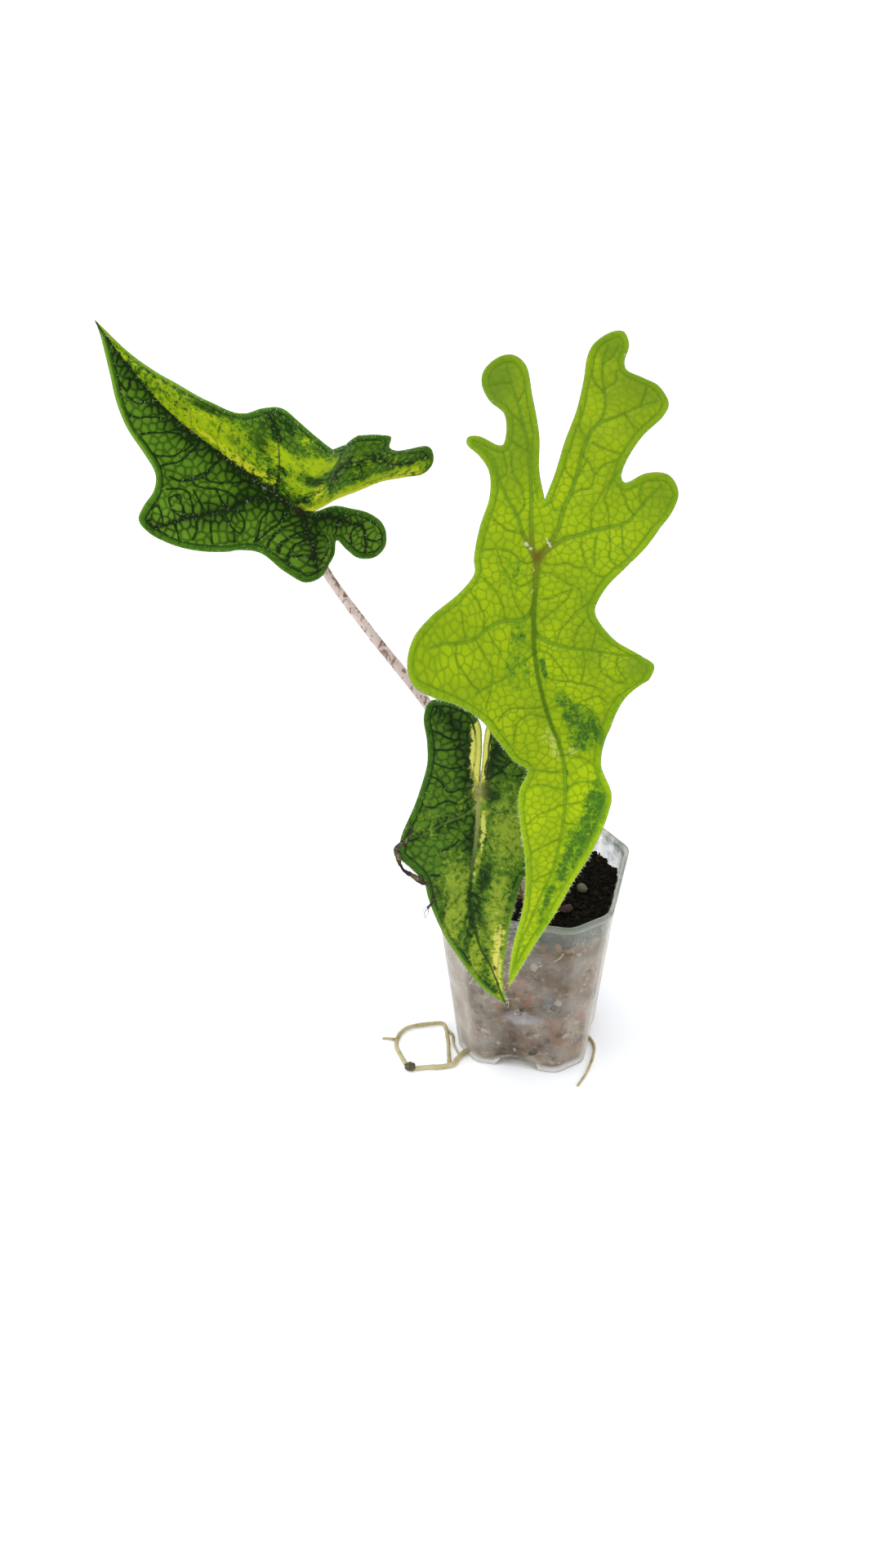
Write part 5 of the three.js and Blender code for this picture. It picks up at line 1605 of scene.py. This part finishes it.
def pot_rows(settings, outline, rows):
    """Rings of points round the pot. rows lists [inset, height, how much the foot's arch lifts it, arch growth]."""
    rings = []
    for inset, z, lift, growth in rows:
        side = pot_width(settings, z) - 2 * inset
        rings.append(np.c_[outline * side, z + lift * arch_height(outline, growth)])
    return np.array(rings)


def upright(levels, inset, foot, growth):
    """Rows up or down a wall, whose arches fade out above the foot."""
    return [[inset, z, max(0, 1 - (z - foot) / ARCH_FADE), growth] for z in levels]


class PLANT_OT_pot(bpy.types.Operator):
    """Makes the clouded clear pot"""

    bl_idname = "plant.pot"
    bl_label = "Pot"

    def execute(self, context):
        settings = context.scene.plant_pot
        outline = rounded_outline()
        wall, lip, height = (value / MM for value in (settings.wall, settings.lip, settings.height))
        neck = height - LIP_HEIGHT
        rows = [
            [POT_CORE, 0, 0, 0], [ARCH_DEPTH + 0.5, 0, 0, 0], [ARCH_DEPTH + 0.1, 0.05, 0, 0],
            [ARCH_DEPTH - 0.1, 0, 1, 0], [0.6, 0, 1, 0], [0.12, 0.12, 1, 0],
            *upright(np.linspace(0.6, neck - 0.25, 64), 0, 0, 0),
            [-0.15, neck, 0, 0], [-0.5 * lip, neck + 0.12, 0, 0], [-0.88 * lip, neck + 0.25, 0, 0],
            [-lip, neck + 0.55, 0, 0], [-lip, height - 1.2, 0, 0], [-lip, height - 0.45, 0, 0],
            [-0.9 * lip, height - 0.15, 0, 0], [-0.6 * lip, height, 0, 0], [0.3, height, 0, 0],
            [0.75 * wall, height - 0.08, 0, 0], [wall, height - 0.35, 0, 0],
            *upright(np.linspace(height - 1, POT_FLOOR + 0.4, 60), wall, POT_FLOOR, wall),
            [wall + 0.4, POT_FLOOR, 1, wall], [ARCH_DEPTH + wall, POT_FLOOR, 1, wall],
            [ARCH_DEPTH + wall + 0.3, POT_FLOOR, 0, 0], [POT_CORE, POT_FLOOR, 0, 0],
        ]
        rings = pot_rows(settings, outline, rows)
        out = unit((rings - rings.mean(1, keepdims=True)) * [1, 1, 0])
        swell = 0.28 * cloud(rings * [1, 1, 0.8], 22.0, 41, 2)
        rings = rings + out * (swell * np.clip(rings[..., 2] / 14, 0, 1))[..., None]
        points = turned(rings.reshape(-1, 3))
        made = mesh_piece("pot_shell", points, tube_faces(len(rows), len(outline)), self.film(settings))
        placed(facing_out(made), "clear_plastic", "pot")
        return {"FINISHED"}

    def film(self, settings):
        """Clouded plastic: mossy and greyer above the mix, milkier where it is seen at a low angle, and with two
        painted highlights.
        """
        paint = Paint("clouded_plastic")
        spot = paint.place()
        height = paint.height()
        haze = paint.cloud(spot, 70.0, 5, 0.6)
        streak = paint.cloud(paint.place((1, 1, 0.16)), 300.0, 4, 0.6)
        scuff = paint.cloud(paint.place((1, 1, 0.3)), 900.0, 4, 0.7)
        bead = paint.cells(spot, 520.0).step(0.34, 0.2) * paint.cloud(spot, 90.0).step(0.5, 0.62)
        moss = (paint.cloud(spot, 140.0, 6, 0.7) + (height - 66) * 0.012).step(0.62, 0.74) * height.step(50, 64)
        # shine: painted highlights on the film, a soft lavender one on the front wall and a small glint under the rim.
        # They also make the film a little more opaque.
        shine = paint.blot(spot, (-1.7, -28, 28), (9, 4, 3.6), haze)
        shine = shine.at_least(paint.blot(spot, (9.4, -30, 71), (1.3, 3, 1.6), haze))
        above = height.step(66, 72)
        tone = paint.coats(
            tuple(settings.film),
            (haze.step(0.42, 0.72) * 0.7, rgb(196, 190, 178)),
            (above * 0.6, rgb(140, 148, 138)),
            (moss * 0.7, rgb(88, 112, 80)),
            (bead * 0.5, (0.85, 0.88, 0.92)),
            (shine * 0.5, (0.62, 0.6, 0.66)),
        )
        grazing = paint.node("ShaderNodeLayerWeight", {}, {"Blend": 0.5}, "Facing").step(0.3, 0.85)
        clouded = settings.haze + (haze - 0.5) * 0.6 + (streak - 0.5) * 0.25 + moss * 0.2
        clouded = clouded + height.step(77.8, 78.8) * 0.2 + bead * 0.06 + above * 0.14 + shine * 0.16 + grazing * 0.5
        return paint.finish(
            base_color=tone, roughness=0.22 + haze * 0.3, alpha=clouded.at_least(0.07).at_most(0.9), ior=1.49,
            normal=paint.relief(streak * 0.6 + scuff * 0.2 + bead * 0.8, 0.0004, 0.4),
            coat_weight=0.2, coat_roughness=0.15,
        )


def soil_height(x, y):
    """The uneven, slightly heaped top of the mix."""
    heap = SOIL_HEAP * np.exp(-(x * x + y * y) / 260)
    lumps = 0.5 * np.sin(0.35 * x + 1) * np.cos(0.3 * y) + 0.35 * np.sin(0.8 * y + 0.5 * x)
    return SOIL_LEVEL + heap + lumps


class PLANT_OT_mix(bpy.types.Operator):
    """Makes the potting mix, with crumbs on top and pressed against the wall"""

    bl_idname = "plant.mix"
    bl_label = "Potting mix"

    def execute(self, context):
        settings = context.scene.plant_pot
        colours = context.scene.plant_mix
        outline = rounded_outline(0.055, 30, 7)
        inset = settings.wall / MM + SEAT_GAP
        growth = 1.3
        rows = [
            [POT_CORE, POT_FLOOR + 0.4, 0, 0], [ARCH_DEPTH + 2, POT_FLOOR + 0.5, 0, 0],
            [ARCH_DEPTH + 1.4, POT_FLOOR + 0.6, 1, growth], [inset + 1, POT_FLOOR + 0.5, 1, growth],
            *upright(np.linspace(POT_FLOOR + 1, SOIL_LEVEL - 0.6, 130), inset, POT_FLOOR, growth),
        ]
        rings = pot_rows(settings, outline, rows)
        out = unit(rings * [1, 1, 0])
        depth = 0.9 * np.abs(cloud(rings, 3.2, 51, 3)) + 0.5 * np.maximum(cloud(rings, 9.0, 55, 2), 0)
        rings = rings - out * (depth * np.clip((rings[..., 2] - 1) / 4, 0, 1))[..., None]
        layers = [turned(ring) for ring in rings]
        for k in range(1, SOIL_ROWS + 1):
            share = (1 - k / (SOIL_ROWS + 0.4)) ** 0.9
            ring = turned(rings[-1]) * [share, share, 1]
            ring[:, 2] = soil_height(ring[:, 0], ring[:, 1])
            ring[:, 2] += 0.55 * cloud(ring * [1, 1, 0], 3.0, 58, 4) * min(1, k / 3)
            over_corm = np.hypot(ring[:, 0], ring[:, 1]) < CORM_REACH
            ring[:, 2] = np.where(over_corm, np.minimum(ring[:, 2], CORM_TOP - 1.4), ring[:, 2])
            layers.append(ring)
        points = np.concatenate(layers)
        cover = np.repeat([0.0, 1.0], [len(rows) * len(outline), SOIL_ROWS * len(outline)])
        faces = tube_faces(len(layers), len(outline))
        body = facing_out(mesh_piece("mix_body", points, faces, self.soil_paint(colours), {"cover": cover}))
        tree = crumb_tree()
        loose = grown(
            tree, copied(body), "mix_crumbs", density=5.2e5, size=0.00125, flatness=0.65, crackle=0.00035, seed=4,
            material=self.crumb_paint("crumbs_loose", 0.18, LOOSE_CRUMBS),
        )
        wall = np.where(cover > 0, 0.0, np.clip((points[:, 2] - 5) / 4, 0, 1))
        body.data.attributes["cover"].data.foreach_set("value", wall.astype(np.float32))
        pressed = grown(
            tree, copied(body), "mix_pressed", density=4.2e4, size=0.0021, flatness=0.3, crackle=0.0002, seed=9,
            material=self.crumb_paint("crumbs_pressed", 0.5, PRESSED_CRUMBS),
        )
        self.keep_in(pressed, settings)
        placed(body, "potting_mix", "potting_mix")
        placed(loose, "potting_mix")
        placed(pressed, "potting_mix")
        self.add_wall_roots(settings)
        return {"FINISHED"}

    def keep_in(self, piece, settings):
        """Presses a piece's points flat where they would reach the pot's wall."""
        places = np.zeros(len(piece.data.vertices) * 3, np.float32)
        piece.data.vertices.foreach_get("co", places)
        places = places.reshape(-1, 3) / MM
        x, y = np.abs(turned(places, -POT_TURN)[:, :2]).T
        half = pot_width(settings, places[:, 2]) / 2 - settings.wall / MM - 0.12
        cut = (1 - POT_CHAMFER_SHARE) * 2 * half / math.sqrt(2)
        reach = np.maximum(np.maximum(x, y) / half, (x + y) / math.sqrt(2) / (cut * 0.985))
        places[:, :2] *= np.where(reach > 1, 1 / reach, 1)[:, None]
        piece.data.vertices.foreach_set("co", (places * MM).astype(np.float32).ravel())
        piece.data.update()

    def soil_paint(self, colours):
        """Dark on top. Behind the wall: browns, with blots of bark, grey and moss."""
        paint = Paint("potting_mix")
        spot = paint.place()
        height = paint.height()
        lump = paint.cloud(spot, 130.0, 6, 0.68)
        chip = paint.node("ShaderNodeSeparateColor", {}, {"Color": paint.cells(spot, 210.0, "Color")}, "Red")
        soft = paint.cloud(spot, 45.0, 4, 0.6)
        frayed = paint.cloud(spot, 260.0, 4, 0.65)
        moss = (paint.cloud(spot, 180.0, 5, 0.7) + (height - 60) * 0.006).step(0.6, 0.72)
        side = paint.coats(
            paint.ramp(
                lump * 0.7 + soft * 0.3,
                (0.34, rgb(22, 17, 14)), (0.45, rgb(70, 54, 40)), (0.54, rgb(124, 104, 80)), (0.64, rgb(180, 164, 140)),
            ),
            ((soft + (chip - 0.5) * 0.4).step(0.58, 0.66) * 0.85, rgb(128, 74, 30)),
            *((paint.blot(spot, middle, radii, frayed) * 0.8, tint) for tint, middle, radii in MIX_BLOTS),
            (moss * 0.5, rgb(70, 86, 52)),
        )
        dark = paint.mix(lump.step(0.4, 0.7), tuple(colours.soil), rgb(20, 17, 10))
        return paint.finish(
            base_color=paint.mix(height.step(68.4, 70.5), side, dark), roughness=0.9 - lump * 0.2,
            normal=paint.relief(lump + chip * 0.3, 0.0012, 0.8), specular_ior_level=0.12,
        )

    def crumb_paint(self, name, dust, tones):
        """Crumbs of several kinds. tones lists [share of the crumbs below it, colour]."""
        paint = Paint(name)
        grain = paint.cloud(paint.place(), 900.0, 4, 0.65)
        base = paint.ramp(paint.read("tone"), *tones)
        base.socket.node.color_ramp.interpolation = "CONSTANT"
        base = paint.mix(grain.step(0.35, 0.75) * dust, base, paint.mix(0.5, base, rgb(120, 106, 84)))
        return paint.finish(
            base_color=base, roughness=0.85, normal=paint.relief(grain, 0.0006, 0.7), specular_ior_level=0.05,
        )

    def add_wall_roots(self, settings):
        """Pale roots that wind down between the mix and the wall."""
        paint = Paint("wall_roots")
        patch = paint.cloud(paint.place(), 260.0, 4, 0.6)
        tone = paint.mix(patch.step(0.35, 0.7), rgb(196, 186, 160), rgb(150, 132, 104))
        finish = paint.finish(base_color=tone, roughness=0.7, normal=paint.relief(patch, 0.0003, 0.5))
        outline = rounded_outline(0.06, 30, 7)
        rng = np.random.default_rng(77)
        tree = stalk_tree()
        share = np.linspace(0, 1, 14)
        pieces = []
        for _ in range(WALL_ROOTS):
            start = rng.uniform(0, len(outline))
            top = rng.uniform(42, 68)
            low = rng.uniform(4, 30)
            slant = rng.uniform(-40, 40)
            level = top + (low - top) * share
            index = start + slant * share + 5 * np.sin(share * rng.uniform(4, 9) + rng.uniform(0, 6))
            width = pot_width(settings, level) - 2 * 1.9
            flat = outline[np.mod(index.astype(int), len(outline))]
            route = turned(np.c_[flat * width[:, None], level])
            pieces.append(grown(
                tree, line_object(route.tolist(), 0.8), "root", base_radius=rng.uniform(0.00035, 0.0006),
                tip_radius=0.0002, lump_height=0.00008, lump_scale=500.0, sides=8, material=finish,
            ))
        made = joined("wall_roots", pieces)
        self.keep_in(made, settings)
        placed(made, "root_skin")


class PLANT_OT_chips(bpy.types.Operator):
    """Makes the larger bark chips and pumice grains on the mix"""

    bl_idname = "plant.chips"
    bl_label = "Bark and pumice"

    def execute(self, context):
        colours = context.scene.plant_mix
        for kind, finish in (("bark", self.bark_paint(colours)), ("pumice", self.pumice_paint(colours))):
            for node in sorted(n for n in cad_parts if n.startswith(kind)):
                self.make_chip(node, kind, finish)
        return {"FINISHED"}

    def make_chip(self, node, kind, finish):
        """A chip or grain with a rough skin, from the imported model's faceted one."""
        shape = bmesh.new()
        shape.from_mesh(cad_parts[node].data)
        bmesh.ops.remove_doubles(shape, verts=shape.verts, dist=1e-6)
        bmesh.ops.subdivide_edges(shape, edges=shape.edges, cuts=3, use_grid_fill=True, smooth=0.35)
        bmesh.ops.triangulate(shape, faces=shape.faces)
        shape.normal_update()
        points = np.array([v.co[:] for v in shape.verts]) / MM
        normals = np.array([v.normal[:] for v in shape.verts])
        if kind == "bark":
            layers = 0.22 * np.sign(np.sin(points[:, 2] * 7 + 2 * cloud(points, 3.0, 95, 2)))
            push = layers * 0.5 + 0.22 * cloud(points * [0.5, 2.0, 1.5], 1.6, 97, 3)
        else:
            push = 0.3 * cloud(points, 1.0, 99, 3) - 0.25 * np.maximum(cloud(points, 0.55, 101, 2), 0)
        points = points + normals * push[:, None]
        faces = [[v.index for v in f.verts] for f in shape.faces]
        shape.free()
        placed(mesh_piece(f"{node}_rough", points, faces, finish), kind, node)

    def bark_paint(self, colours):
        """Fibrous brown bark."""
        paint = Paint("bark")
        fibre = paint.cloud(paint.place((0.35, 2.2, 2.2)), 500.0, 5, 0.7)
        flake = paint.cloud(paint.place(), 260.0, 4, 0.6)
        tone = paint.ramp(
            fibre * 0.65 + flake * 0.35,
            (0.3, rgb(26, 17, 10)), (0.48, tuple(colours.bark)), (0.64, rgb(98, 64, 38)), (0.8, rgb(128, 96, 64)),
        )
        return paint.finish(base_color=tone, roughness=0.88, normal=paint.relief(fibre, 0.0008, 0.8))

    def pumice_paint(self, colours):
        """Pitted, dusty grey pumice."""
        paint = Paint("pumice")
        pits = paint.cells(paint.place(), 1100.0)
        dust = paint.cloud(paint.place(), 400.0, 5, 0.7)
        tone = paint.coats(
            tuple(colours.pumice),
            (dust.step(0.35, 0.75), rgb(92, 84, 66)),
            (pits.step(0.3, 0.12) * 0.6, rgb(92, 84, 68)),
        )
        return paint.finish(
            base_color=tone, roughness=0.95, normal=paint.relief(pits.step(0.1, 0.4) + dust * 0.4, 0.0006, 0.9),
        )


class PLANT_PT_panel(bpy.types.Panel):
    """Lists the plant's sizes and colours, and the steps that build it"""

    bl_idname = "PLANT_PT_panel"
    bl_label = "Plant"
    bl_space_type = "VIEW_3D"
    bl_region_type = "UI"
    bl_category = "Plant"

    def draw(self, context):
        for name in SETTINGS:
            box = self.layout.box()
            group = getattr(context.scene, name)
            for key in group.__annotations__:
                box.prop(group, key)
        for operator in OPERATORS:
            self.layout.operator(operator.bl_idname)


SETTINGS = {
    "plant_stage": StageSettings,
    "plant_blades": BladeSettings,
    "plant_stalks": StalkSettings,
    "plant_pot": PotSettings,
    "plant_mix": MixSettings,
}
OPERATORS = (
    PLANT_OT_stage, PLANT_OT_blades, PLANT_OT_withered, PLANT_OT_stalks, PLANT_OT_corm, PLANT_OT_roots,
    PLANT_OT_pot, PLANT_OT_mix, PLANT_OT_chips,
)


def register():
    for kind in (*SETTINGS.values(), *OPERATORS, PLANT_PT_panel):
        bpy.utils.register_class(kind)
    for name, kind in SETTINGS.items():
        setattr(bpy.types.Scene, name, bpy.props.PointerProperty(type=kind))


def unregister():
    for name in SETTINGS:
        delattr(bpy.types.Scene, name)
    for kind in (PLANT_PT_panel, *OPERATORS, *SETTINGS.values()):
        bpy.utils.unregister_class(kind)


def main():
    register()
    for operator in OPERATORS:
        group, name = operator.bl_idname.split(".")
        getattr(getattr(bpy.ops, group), name)()


if __name__ == "__main__":
    main()
